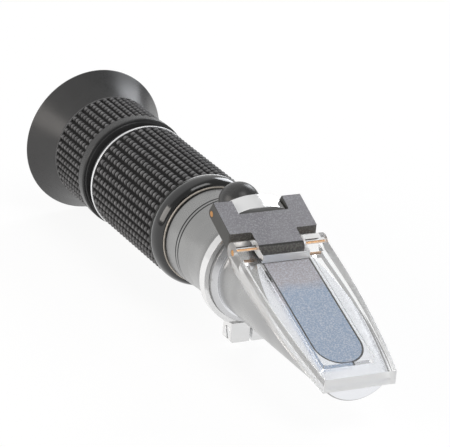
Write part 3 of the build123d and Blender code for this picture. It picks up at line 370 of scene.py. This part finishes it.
def paintTeethShade(tree, place, colour, roughness):
    # Painted shade and highlight: the pits between the teeth are painted black and dull, and the crests
    # painted grey as a painted highlight, greyer in uneven patches
    axes = axesOf(tree, place)
    along = axes["Y"]
    rise = mathNode(tree, "SUBTRACT", axes["Z"], axisHeight)
    square = mathNode(tree, "ADD", mathNode(tree, "MULTIPLY", rise, rise),
                      mathNode(tree, "MULTIPLY", axes["X"], axes["X"]))
    radius = mathNode(tree, "SQRT", square)
    inTeeth = mathNode(tree, "MULTIPLY", mathNode(tree, "LESS_THAN", radius, teethShadePaint["outer"]),
                       mathNode(tree, "LESS_THAN", along, teethShadePaint["rear"]))
    onEyecup = mathNode(tree, "GREATER_THAN", along, teethShadePaint["eyecupFrom"])
    extra = mathNode(tree, "MULTIPLY", onEyecup, teethShadePaint["eyecupExtra"])
    share = spread(tree, mathNode(tree, "SUBTRACT", radius, extra), *teethShadePaint["rise"])
    wear = spread(tree, noise(tree, place, teethShadePaint["wearScale"], 2.0),
                  *teethShadePaint["wear"], *teethShadePaint["wearShare"])
    handled = mathNode(tree, "MULTIPLY", share, wear)
    teeth = mixColours(tree, handled, teethShadePaint["pitShade"], teethShadePaint["crest"])
    pitted = mathNode(tree, "MULTIPLY", inTeeth, mathNode(tree, "SUBTRACT", 1.0, share))
    dull = mathNode(tree, "MAXIMUM", roughness, mathNode(tree, "MULTIPLY", pitted, teethShadePaint["dull"]))
    return mixColours(tree, inTeeth, colour, teeth), dull


def facing(tree, direction, low, high):
    # 1 where the surface faces the direction
    coordinates = addNode(tree, "ShaderNodeTexCoord")
    dot = addNode(tree, "ShaderNodeVectorMath", operation="DOT_PRODUCT")
    dot.inputs[1].default_value = Vector(direction).normalized()
    tree.links.new(coordinates.outputs["Normal"], dot.inputs[0])
    return spread(tree, dot.outputs["Value"], low, high)


holderPaint = {"slope": (0.0, -0.34, 0.94), "slopeEdge": (0.97, 0.995), "front": (0, -1, 0),
               "frontEdge": (0.72, 0.90), "milled": (0.86, 0.87, 0.90)}


def paintHolder(tree, place, colour, roughness):
    # The milled faces are brighter than the turned body
    milled = mathNode(tree, "MAXIMUM", facing(tree, holderPaint["slope"], *holderPaint["slopeEdge"]),
                      facing(tree, holderPaint["front"], *holderPaint["frontEdge"]))
    return mixColours(tree, milled, colour, holderPaint["milled"]), roughness


# The side colour and the crease colour are painted shade, and the roll colour a painted highlight, each
# picked by which way the face points
armShadePaint = {"top": (0.0, -0.413, 0.911), "topEdge": (0.992, 0.998), "side": (0.042, 0.041, 0.037),
            "knuckle": (0, -0.94, 0.34), "knuckleEdge": (0.55, 0.80), "roll": (0.105, 0.102, 0.096),
            "rollSpeck": (0.20, 0.195, 0.18), "speckScale": 2.3, "specks": (0.50, 0.60), "speckShare": 0.8,
            "creaseShade": (0.012, 0.012, 0.011), "creaseFrom": (0.90, 0.955), "creaseTo": (0.998, 0.990),
            "creaseShare": 0.8, "polish": 0.30, "topPolish": 0.25}


def paintArmShade(tree, place, colour, roughness):
    # Painted light and shade by which way a face points: the top keeps the grained colour, a painted shade
    # line darkens the crease before the rolled knuckle, the knuckle is painted lighter with specks as a
    # painted highlight, and the sides are painted darker as painted shade; the sides are also smoother
    top = facing(tree, armShadePaint["top"], *armShadePaint["topEdge"])
    onCrease = mathNode(tree, "MULTIPLY", facing(tree, armShadePaint["top"], *armShadePaint["creaseFrom"]),
                        facing(tree, armShadePaint["top"], *armShadePaint["creaseTo"]))
    roll = facing(tree, armShadePaint["knuckle"], *armShadePaint["knuckleEdge"])
    specks = spread(tree, noise(tree, place, armShadePaint["speckScale"], 1.0),
                    *armShadePaint["specks"], 0.0, armShadePaint["speckShare"])
    litRoll = mixColours(tree, specks, armShadePaint["roll"], armShadePaint["rollSpeck"])
    sides = mixColours(tree, roll, armShadePaint["side"], litRoll)
    creased = mathNode(tree, "MULTIPLY", onCrease, armShadePaint["creaseShare"])
    creaseShaded = mixColours(tree, creased, sides, armShadePaint["creaseShade"])
    shine = mathNode(tree, "ADD", armShadePaint["polish"], mathNode(tree, "MULTIPLY", top, armShadePaint["topPolish"]))
    dull = mathNode(tree, "MULTIPLY", mathNode(tree, "ADD", roughness, shine), 0.5)
    return mixColours(tree, top, creaseShaded, colour), dull


prismPaint = {"change": -44.2, "blend": 3.5, "driftScale": 0.25, "drift": 3.0, "rosy": (0.510, 0.478, 0.525),
              "blue": (0.348, 0.478, 0.680), "grain": (0.80, 0.83, 0.92), "grainScale": 2.5,
              "grainEdge": (0.44, 0.62), "grainShare": 0.72}


def paintPrism(tree, place, colour, roughness):
    # Rosy grey behind, blue grey in front, with a fine milky grain
    drift = mathNode(tree, "MULTIPLY", noise(tree, place, prismPaint["driftScale"], 2.0), prismPaint["drift"])
    along = mathNode(tree, "ADD", axesOf(tree, place)["Y"], drift)
    change = spread(tree, along, prismPaint["change"], prismPaint["change"] + prismPaint["blend"])
    tinted = mixColours(tree, change, prismPaint["blue"], prismPaint["rosy"])
    milky = spread(tree, noise(tree, place, prismPaint["grainScale"], 1.5, 0.7),
                   *prismPaint["grainEdge"], 0.0, prismPaint["grainShare"])
    return mixColours(tree, milky, tinted, prismPaint["grain"]), roughness


clearLooks = {
    "clear_acrylic": {"colour": (0.985, 0.99, 0.99), "ior": 1.49, "rough": (0.02, 0.07), "bump": 0.05,
                      "depth": 0.02, "shadow": 0.88, "bounces": 3.5},
    "frosted_acrylic": {"colour": (0.97, 0.975, 0.975), "ior": 1.49, "rough": (0.30, 0.45), "bump": 0.05,
                        "depth": 0.02, "shadow": 0.8, "bounces": 1.5, "clear": 0.75},
    "optical_glass": {"colour": (0.96, 0.98, 0.985), "ior": 1.52, "rough": (0.0, 0.03), "bump": 0.02,
                      "depth": 0.01, "shadow": 0.85, "bounces": 4.5},
}
clearPattern = {"haze": 0.35, "hazy": (0.4, 0.7), "hazeTint": 0.965, "waves": 0.55, "scratches": 1.6,
                "scratchStretch": (6.0, 0.25, 1.0), "rubbed": (0.4, 0.85)}


def makeClear(name, look):
    # Clear material: faint waves, a few hazy patches, and a shadow that lets most light through.
    # Light on what lies under it goes straight through, and so does a ray that has bounced about inside,
    # so the walls stay bright
    material = bpy.data.materials.new(name)
    material.use_nodes = True
    tree = material.node_tree
    tree.nodes.clear()
    shader = addNode(tree, "ShaderNodeBsdfPrincipled")
    output = addNode(tree, "ShaderNodeOutputMaterial")
    place = millimetres(tree)
    haze = noise(tree, place, clearPattern["haze"], 4.0)
    waves = noise(tree, place, clearPattern["waves"], 2.0)
    stretched = millimetres(tree, clearPattern["scratchStretch"])
    scratches = noise(tree, stretched, clearPattern["scratches"], 4.0, 0.7)
    mixed = mathNode(tree, "MULTIPLY", haze, mathNode(tree, "MULTIPLY", scratches, 2.0))
    tree.links.new(spread(tree, mixed, *clearPattern["rubbed"], *look["rough"]), shader.inputs["Roughness"])
    pure, dull = look["colour"], tuple(clearPattern["hazeTint"] * share for share in look["colour"])
    tinted = mixColours(tree, spread(tree, haze, *clearPattern["hazy"]), pure, dull)
    tree.links.new(tinted, shader.inputs["Base Color"])
    bump = addNode(tree, "ShaderNodeBump")
    bump.inputs["Strength"].default_value = look["bump"]
    bump.inputs["Distance"].default_value = look["depth"] * mm
    tree.links.new(waves, bump.inputs["Height"])
    tree.links.new(bump.outputs[0], shader.inputs["Normal"])
    shader.inputs["Transmission Weight"].default_value = look.get("clear", 1.0)
    shader.inputs["IOR"].default_value = look["ior"]
    path = addNode(tree, "ShaderNodeLightPath")
    through = addNode(tree, "ShaderNodeBsdfTransparent")
    mix = addNode(tree, "ShaderNodeMixShader")
    shadow = mathNode(tree, "MULTIPLY", path.outputs["Is Shadow Ray"], look["shadow"])
    deep = mathNode(tree, "GREATER_THAN", path.outputs["Ray Depth"], look["bounces"])
    straight = mathNode(tree, "MAXIMUM", deep, path.outputs["Is Diffuse Ray"])
    tree.links.new(mathNode(tree, "MAXIMUM", shadow, straight), mix.inputs[0])
    tree.links.new(shader.outputs[0], mix.inputs[1])
    tree.links.new(through.outputs[0], mix.inputs[2])
    tree.links.new(mix.outputs[0], output.inputs["Surface"])
    return material


finishes = {name: makeFinish(name, look) for name, look in looks.items()}
finishes.update({name: makeClear(name, look) for name, look in clearLooks.items()})
barrelLook = {**looks["satin_metal"], "colour": (0.375, 0.375, 0.37), "other": (0.335, 0.335, 0.333)}
prismLook = {"colour": (0.3, 0.3, 0.3), "rough": (0.45, 0.60), "bump": 0.05, "depth": 0.01}
finishes["barrel_metal"] = makeFinish("barrel_metal", barrelLook, paintBarrel)
# The front trim's finish carries a painted shade on its left side
finishes["trim_metal_painted_shade"] = makeFinish("trim_metal_painted_shade", looks["bright_aluminium"], paintTrimShade)
finishes["holder_metal"] = makeFinish("holder_metal", looks["satin_metal"], paintHolder)
# The arm's finish carries painted light and shade picked by face direction
finishes["arm_plastic_painted_shade"] = makeFinish("arm_plastic_painted_shade", looks["dark_plastic"], paintArmShade)
# The knurled finish carries painted shade in the pits and a painted highlight on the crests
finishes["knurled_rubber_painted_shade"] = makeFinish("knurled_rubber_painted_shade", {**looks["black_rubber"], "edge": 0.02}, paintTeethShade)
finishes["prism_glass"] = makeFinish("prism_glass", prismLook, paintPrism)
print("finishes made:", len(finishes))


def bodyOf(node):
    return next(body for body, members in bodies.items() if node in members)


def addPiece(name, mesh):
    piece = bpy.data.objects.new(name, mesh)
    bpy.context.scene.collection.objects.link(piece)
    return piece


def smooth(mesh, angle=33):
    mesh.polygons.foreach_set("use_smooth", [True] * len(mesh.polygons))
    mesh.set_sharp_from_angle(angle=radians(angle))
    mesh.update()


def settle(piece):
    # The evaluated shape becomes a plain mesh, and no modifier stays
    graph = bpy.context.evaluated_depsgraph_get()
    mesh = bpy.data.meshes.new_from_object(piece.evaluated_get(graph))
    piece.modifiers.clear()
    old = piece.data
    piece.data = mesh
    bpy.data.meshes.remove(old)
    return piece


def weighFaces(piece):
    # Large faces shade flat, and the soft edges between them take up the turn
    weigh = piece.modifiers.new("face_weights", "WEIGHTED_NORMAL")
    weigh.keep_sharp, weigh.weight, weigh.mode = True, 100, "FACE_AREA"
    return settle(piece)


def softenEdges(piece, width, segments=2, angle=34):
    bevel = piece.modifiers.new("soft_edges", "BEVEL")
    bevel.width, bevel.segments = width * mm, segments
    bevel.limit_method, bevel.angle_limit = "ANGLE", radians(angle)
    bevel.use_clamp_overlap = True
    return settle(piece)


def standFor(piece, finish, *nodes):
    piece.data.materials.clear()
    piece.data.materials.append(finishes[finish])
    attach(piece, bodyOf(nodes[0]))
    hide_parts(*nodes)
    return piece


# Points nearer than merge, in metres, become one, and faces flatter than flat, in degrees, join.
# A face whose normal lies further sideways than wall is an upright wall
cleaning = {"merge": 2e-6, "flat": 0.6, "wall": 0.8}


def dressed(node, finish, width, segments=2, wallFinish=None):
    # A merged copy of a CAD node with softened edges, and another finish on upright walls if one is given
    mesh = frame["nodes"][node].data.copy()
    mesh.name = node + "_shape"
    shape = bmesh.new()
    shape.from_mesh(mesh)
    bmesh.ops.remove_doubles(shape, verts=shape.verts, dist=cleaning["merge"])
    flat = radians(cleaning["flat"])
    bmesh.ops.dissolve_limit(shape, angle_limit=flat, verts=shape.verts, edges=shape.edges)
    shape.to_mesh(mesh)
    shape.free()
    if "custom_normal" in mesh.attributes:  # the loose triangles' own shading no longer fits
        mesh.attributes.remove(mesh.attributes["custom_normal"])
    piece = addPiece(node + "_finished", mesh)
    softenEdges(piece, width, segments)
    smooth(piece.data)
    weighFaces(piece)
    standFor(piece, finish, node)
    if wallFinish:
        piece.data.materials.append(finishes[wallFinish])
        for face in piece.data.polygons:
            if max(abs(face.normal.x), abs(face.normal.y)) > cleaning["wall"]:
                face.material_index = 1
    return piece


cornerReach = 0.49  # the most of a side that a rounding takes


def rounded(corners, steps=7):
    # Corners are (station, radius) or (station, radius, rounding); a rounded corner becomes a short curve
    points = []
    for index, corner in enumerate(corners):
        here = Vector(corner[:2])
        if len(corner) == 2:
            points.append(here)
            continue
        before = Vector(corners[index - 1][:2]) - here
        after = Vector(corners[(index + 1) % len(corners)][:2]) - here
        reach = min(corner[2], before.length * cornerReach, after.length * cornerReach)
        start, end = here + before.normalized() * reach, here + after.normalized() * reach
        for step in range(steps + 1):
            share = step / steps
            points.append(start * (1 - share) ** 2 + here * 2 * share * (1 - share) + end * share**2)
    return points


def turnedMesh(name, outline, steps=192):
    # The outline, in millimetres as (station, radius), goes round the optical axis
    shape = bmesh.new()
    loops = []
    for station, radius in outline:
        if radius < 1e-6:
            loops.append([shape.verts.new((0, station * mm, axisHeight * mm))] * steps)
            continue
        loops.append([
            shape.verts.new((radius * mm * sin(2 * pi * step / steps), station * mm,
                             (axisHeight + radius * cos(2 * pi * step / steps)) * mm))
            for step in range(steps)
        ])
    for index, loop in enumerate(loops):
        following = loops[(index + 1) % len(loops)]
        for step in range(steps):
            corners = [loop[step], loop[(step + 1) % steps], following[(step + 1) % steps], following[step]]
            corners = list(dict.fromkeys(corners))
            if len(corners) > 2:
                shape.faces.new(corners)
    bmesh.ops.recalc_face_normals(shape, faces=shape.faces)
    mesh = bpy.data.meshes.new(name)
    shape.to_mesh(mesh)
    shape.free()
    smooth(mesh)
    return mesh


def turned(node, finish, outline):
    return standFor(addPiece(node + "_turned", turnedMesh(node + "_shape", outline)), finish, node)


# Knurled rubber sleeves
def linkAll(tree, *pairs):
    for start, end in pairs:
        tree.links.new(start, end)


def makeKnurlTree():
    # Inputs: the bare sleeve and the sizes of its teeth. Output: the sleeve with rows of teeth round it
    tree = bpy.data.node_groups.new("knurled_sleeve", "GeometryNodeTree")
    sockets = tree.interface
    sockets.new_socket("Sleeve", in_out="INPUT", socket_type="NodeSocketGeometry")
    for label in ("Rows", "Teeth"):
        sockets.new_socket(label, in_out="INPUT", socket_type="NodeSocketInt")
    for label in ("First Tooth", "Pitch", "Crest Radius", "Axis Height", "Depth", "Width", "Length",
                  "Crest Width", "Crest Length"):
        sockets.new_socket(label, in_out="INPUT", socket_type="NodeSocketFloat")
    sockets.new_socket("Finish", in_out="INPUT", socket_type="NodeSocketMaterial")
    sockets.new_socket("Knurled Sleeve", in_out="OUTPUT", socket_type="NodeSocketGeometry")
    inlet = addNode(tree, "NodeGroupInput").outputs
    index = addNode(tree, "GeometryNodeInputIndex").outputs[0]
    teeth = inlet["Teeth"]
    row = mathNode(tree, "FLOOR", mathNode(tree, "DIVIDE", index, teeth))
    tooth = mathNode(tree, "MODULO", index, teeth)
    turn = mathNode(tree, "DIVIDE", mathNode(tree, "MULTIPLY", row, 2 * pi), inlet["Rows"])
    halfDepth = mathNode(tree, "MULTIPLY", inlet["Depth"], 0.5)
    radius = mathNode(tree, "SUBTRACT", inlet["Crest Radius"], halfDepth)
    height = mathNode(tree, "MULTIPLY", mathNode(tree, "COSINE", turn), radius)
    place = addNode(tree, "ShaderNodeCombineXYZ")
    station = mathNode(tree, "MULTIPLY", tooth, inlet["Pitch"])
    linkAll(
        tree,
        (mathNode(tree, "MULTIPLY", mathNode(tree, "SINE", turn), radius), place.inputs["X"]),
        (mathNode(tree, "ADD", station, inlet["First Tooth"]), place.inputs["Y"]),
        (mathNode(tree, "ADD", height, inlet["Axis Height"]), place.inputs["Z"]),
    )
    points = addNode(tree, "GeometryNodeMeshLine")
    spreadOut = addNode(tree, "GeometryNodeSetPosition")
    tree.links.new(mathNode(tree, "MULTIPLY", inlet["Rows"], teeth), points.inputs["Count"])
    tree.links.new(points.outputs[0], spreadOut.inputs["Geometry"])
    tree.links.new(place.outputs[0], spreadOut.inputs["Position"])
    # One tooth: a block whose outer end is drawn in to a small crest
    block = addNode(tree, "GeometryNodeMeshCube")
    blockSize = addNode(tree, "ShaderNodeCombineXYZ")
    crest = addNode(tree, "ShaderNodeCombineXYZ")
    crest.inputs["Z"].default_value = 1.0
    linkAll(
        tree,
        (inlet["Width"], blockSize.inputs["X"]), (inlet["Length"], blockSize.inputs["Y"]),
        (inlet["Depth"], blockSize.inputs["Z"]), (blockSize.outputs[0], block.inputs["Size"]),
        (inlet["Crest Width"], crest.inputs["X"]), (inlet["Crest Length"], crest.inputs["Y"]),
    )
    position = addNode(tree, "GeometryNodeInputPosition").outputs[0]
    split = addNode(tree, "ShaderNodeSeparateXYZ")
    outer = addNode(tree, "FunctionNodeCompare", data_type="FLOAT", operation="GREATER_THAN")
    drawnIn = addNode(tree, "ShaderNodeVectorMath", operation="MULTIPLY")
    taper = addNode(tree, "GeometryNodeSetPosition")
    linkAll(
        tree,
        (position, split.inputs[0]), (split.outputs["Z"], outer.inputs[0]),
        (position, drawnIn.inputs[0]), (crest.outputs[0], drawnIn.inputs[1]),
        (block.outputs["Mesh"], taper.inputs["Geometry"]), (outer.outputs[0], taper.inputs["Selection"]),
        (drawnIn.outputs[0], taper.inputs["Position"]),
    )
    outwards = addNode(tree, "ShaderNodeCombineXYZ")
    rotation = addNode(tree, "FunctionNodeEulerToRotation")
    instances = addNode(tree, "GeometryNodeInstanceOnPoints")
    realised = addNode(tree, "GeometryNodeRealizeInstances")
    joined = addNode(tree, "GeometryNodeJoinGeometry")
    surface = addNode(tree, "GeometryNodeSetMaterial")
    outlet = addNode(tree, "NodeGroupOutput")
    linkAll(
        tree,
        (turn, outwards.inputs["Y"]), (outwards.outputs[0], rotation.inputs[0]),
        (spreadOut.outputs[0], instances.inputs["Points"]), (taper.outputs[0], instances.inputs["Instance"]),
        (rotation.outputs[0], instances.inputs["Rotation"]),
        (instances.outputs[0], joined.inputs[0]), (inlet["Sleeve"], joined.inputs[0]),
        (joined.outputs[0], realised.inputs[0]), (realised.outputs[0], surface.inputs["Geometry"]),
        (inlet["Finish"], surface.inputs["Material"]), (surface.outputs[0], outlet.inputs[0]),
    )
    return tree


knurlTree = makeKnurlTree()
toothEdge = {"width": 0.035, "segments": 1, "angle": 30, "shading": 18}


def knurled(node, finish, sizes, outline):
    piece = addPiece(node + "_knurled", turnedMesh(node + "_sleeve", outline))
    modifier = piece.modifiers.new("knurl", "NODES")
    modifier.node_group = knurlTree
    sizes = {**sizes, "Axis Height": axisHeight, "Finish": finishes[finish]}
    for socket in knurlTree.interface.items_tree:
        if socket.in_out == "INPUT" and socket.name in sizes:
            value = sizes[socket.name]
            # The crest's width and length are shares of the tooth's own, and the other sizes millimetres
            if isinstance(value, float) and socket.name not in ("Crest Width", "Crest Length"):
                value *= mm
            modifier[socket.identifier] = value
    settle(piece)
    softenEdges(piece, toothEdge["width"], toothEdge["segments"], toothEdge["angle"])
    smooth(piece.data, toothEdge["shading"])
    return standFor(piece, finish, node)


grip = {"Rows": 40, "Teeth": 19, "First Tooth": 10.36, "Pitch": 1.838, "Crest Radius": 15.0, "Depth": 0.95,
        "Width": 2.36, "Length": 2.00, "Crest Width": 0.16, "Crest Length": 0.14}
gripSleeve = {"front": 9.35, "rear": 44.45, "bore": 13.05, "root": 14.28}
knurled("grip_sleeve", "knurled_rubber_painted_shade", grip, rounded([
    (gripSleeve["front"], gripSleeve["bore"]), (gripSleeve["front"], gripSleeve["root"], 0.1),
    (gripSleeve["rear"], gripSleeve["root"], 0.1), (gripSleeve["rear"], gripSleeve["bore"]),
]))

eyecupTeeth = {"Rows": 47, "Teeth": 9, "First Tooth": 53.28, "Pitch": 1.66, "Crest Radius": 15.4,
               "Depth": 0.9, "Width": 2.04, "Length": 1.80, "Crest Width": 0.16, "Crest Length": 0.14}
eyecup = {"front": 52.40, "sleeveRear": 67.15, "root": 14.72, "step": 0.05, "shoulder": 15.38,
          "flareFront": 67.45, "flareRadius": 15.4, "flareHollow": 0.198, "rear": 76.25, "rimRadius": 20.2,
          "rimWall": 0.9, "throat": (68.75, 14.1), "bore": 13.65, "lip": 11.4, "lipFront": 66.70,
          "lipRear": 67.6}


def flareLine(steps=14):
    # The outside of the flare, a little hollow, from the knurl to the rim
    start = Vector((eyecup["flareFront"], eyecup["flareRadius"]))
    end = Vector((eyecup["rear"], eyecup["rimRadius"]))
    square = Vector((end.y - start.y, start.x - end.x)).normalized() * eyecup["flareHollow"]
    return [start.lerp(end, step / steps) + square * sin(pi * step / steps) for step in range(steps)]


knurled("eyecup", "knurled_rubber_painted_shade", eyecupTeeth, rounded(
    [(eyecup["lipFront"], eyecup["lip"], 0.2), (eyecup["lipFront"], eyecup["bore"]),
     (eyecup["front"], eyecup["bore"]), (eyecup["front"], eyecup["root"], 0.1),
     (eyecup["sleeveRear"] - eyecup["step"], eyecup["root"]),
     (eyecup["sleeveRear"], eyecup["shoulder"], 0.12)]
    + [tuple(point) for point in flareLine()]
    + [(eyecup["rear"], eyecup["rimRadius"], 0.35),
       (eyecup["rear"], eyecup["rimRadius"] - eyecup["rimWall"], 0.3),
       (*eyecup["throat"], 1.2), (eyecup["lipRear"], eyecup["lip"], 0.3)]
))
print("knurled sleeves made")


# Turned rings of the grip and of the focus adjustment
trims = {
    "front_trim_ring": {"front": 8.95, "rear": 9.35, "radius": 14.80, "bore": 13.05, "finish": "trim_metal_painted_shade"},
    "rear_trim_ring": {"front": 44.45, "rear": 45.15, "radius": 15.06, "bore": 13.05,
                       "finish": "bright_aluminium"},
}
for node, trim in trims.items():
    turned(node, trim["finish"], rounded([
        (trim["front"], trim["bore"]), (trim["front"], trim["radius"], 0.1),
        (trim["rear"], trim["radius"], 0.1), (trim["rear"], trim["bore"])]))

noseRing = {"front": 4.55, "rear": 8.95, "tip": 13.35, "outer": 15.0, "round": 3.3, "heel": 14.72,
            "bore": 13.05}


def noseOutline(steps=18):
    shoulder = [
        (noseRing["front"] + noseRing["round"] * (1 - cos(pi / 2 * step / steps)),
         noseRing["tip"] + (noseRing["outer"] - noseRing["tip"]) * sin(pi / 2 * step / steps))
        for step in range(steps + 1)
    ]
    return rounded([(noseRing["front"], noseRing["bore"], 0.05)] + shoulder
                   + [(noseRing["rear"], noseRing["heel"], 0.15), (noseRing["rear"], noseRing["bore"])])


turned("nose_ring", "gloss_black", noseOutline())

# A thin champagne lip stands in front of the nose ring as a painted highlight: its pale colour stands in for
# the bright reflection along the ring's front edge
noseHighlightLip = {"front": 4.16, "rear": 4.55, "radius": 13.28, "bore": 13.0}
lip = addPiece("nose_highlight_lip", turnedMesh("nose_highlight_lip_shape", rounded([
    (noseHighlightLip["front"], noseHighlightLip["bore"]), (noseHighlightLip["front"], noseHighlightLip["radius"], 0.1),
    (noseHighlightLip["rear"], noseHighlightLip["radius"]), (noseHighlightLip["rear"], noseHighlightLip["bore"])])))
lip.data.materials.append(finishes["champagne_highlight"])
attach(lip, bodyOf("nose_ring"))

dustCollar = {"front": 45.05, "rear": 47.35, "radius": 14.1, "bore": 13.05,
              "grooves": ((45.66, 46.04), (46.42, 46.8)), "grooveRadius": 13.8, "grooveSlope": 0.06}


def collarOutline():
    outline = [(dustCollar["front"], dustCollar["bore"]), (dustCollar["front"], dustCollar["radius"], 0.1)]
    for start, end in dustCollar["grooves"]:
        outline += [(start, dustCollar["radius"], 0.08),
                    (start + dustCollar["grooveSlope"], dustCollar["grooveRadius"], 0.05),
                    (end - dustCollar["grooveSlope"], dustCollar["grooveRadius"], 0.05),
                    (end, dustCollar["radius"], 0.08)]
    outline += [(dustCollar["rear"], dustCollar["radius"], 0.15), (dustCollar["rear"], dustCollar["bore"])]
    return rounded(outline)


turned("dust_collar", "black_anodised", collarOutline())

focusRing = {"front": 49.25, "face": 14.5, "faceStep": 0.12, "rim": 15.5, "rimRear": 52.35,
             "heelStep": 0.28, "heel": 14.95, "core": 13.6, "rear": 66.65, "rearBore": 12.05,
             "stopRear": 61.05, "stopBore": 10.95, "stopFront": 59.55, "thread": 12.45}


def focusOutline():
    rimFront = focusRing["front"] + focusRing["faceStep"]
    heelFront = focusRing["rimRear"] - focusRing["heelStep"]
    return rounded([
        (focusRing["front"], focusRing["thread"], 0.2), (focusRing["front"], focusRing["face"], 0.12),
        (rimFront, focusRing["face"] + focusRing["faceStep"], 0.05), (rimFront, focusRing["rim"], 1.15),
        (heelFront, focusRing["rim"], 0.75), (heelFront, focusRing["heel"], 0.06),
        (focusRing["rimRear"], focusRing["heel"], 0.08), (focusRing["rimRear"], focusRing["core"]),
        (focusRing["rear"], focusRing["core"]), (focusRing["rear"], focusRing["rearBore"]),
        (focusRing["stopRear"], focusRing["rearBore"]), (focusRing["stopRear"], focusRing["stopBore"]),
        (focusRing["stopFront"], focusRing["stopBore"]), (focusRing["stopFront"], focusRing["thread"]),
    ])


turned("focus_ring", "satin_black", focusOutline())
print("turned rings made")


# The metal body, the prism, the plate and the hinge are softened copies of the CAD shapes
dressed("prism_holder", "holder_metal", 0.14)
dressed("barrel", "barrel_metal", 0.10)
dressed("clamp_ring", "ring_chrome", 0.18, 3)
dressed("clamp_screw", "chrome", 0.08)
dressed("hinge_arm", "arm_plastic_painted_shade", 0.22, 3)
dressed("rear_hinge_pin", "brass", 0.12)
dressed("front_hinge_pin", "brass", 0.12)
dressed("daylight_plate", "clear_acrylic", 0.26, 3, wallFinish="frosted_acrylic")
dressed("prism", "prism_glass", 0.05)
dressed("prism_seal", "black_rubber", 0.05)
dressed("calibration_cap", "black_rubber", 0.14)
dressed("calibration_screw", "steel", 0.08)
print("metal body, plate and hinge made")


# What stays as the CAD made it gets its finish through its object's slots
kept = {
    "black_rubber": ("spigot_seal", "focus_seal"),
    "black_anodised": ("light_stop", "lens_carrier", "carrier_retainer", "lens_cell", "objective_ring",
                       "light_baffle", "reticle_holder", "reticle_ring", "eyepiece_retainer", "lens_tube",
                       "lens_spacer", "lens_lock_ring"),
    "steel": ("carrier_spring", "bimetal_screws", "guide_screw"),
    "brass": ("bimetal_strip",),
    "optical_glass": ("objective_lens", "reticle", "field_lens", "eye_lens"),
}
for finish, nodes in kept.items():
    for node in nodes:
        piece = frame["nodes"][node]
        if not piece.material_slots:
            piece.data.materials.append(None)
        for slot in piece.material_slots:
            slot.link = "OBJECT"
            slot.material = finishes[finish]
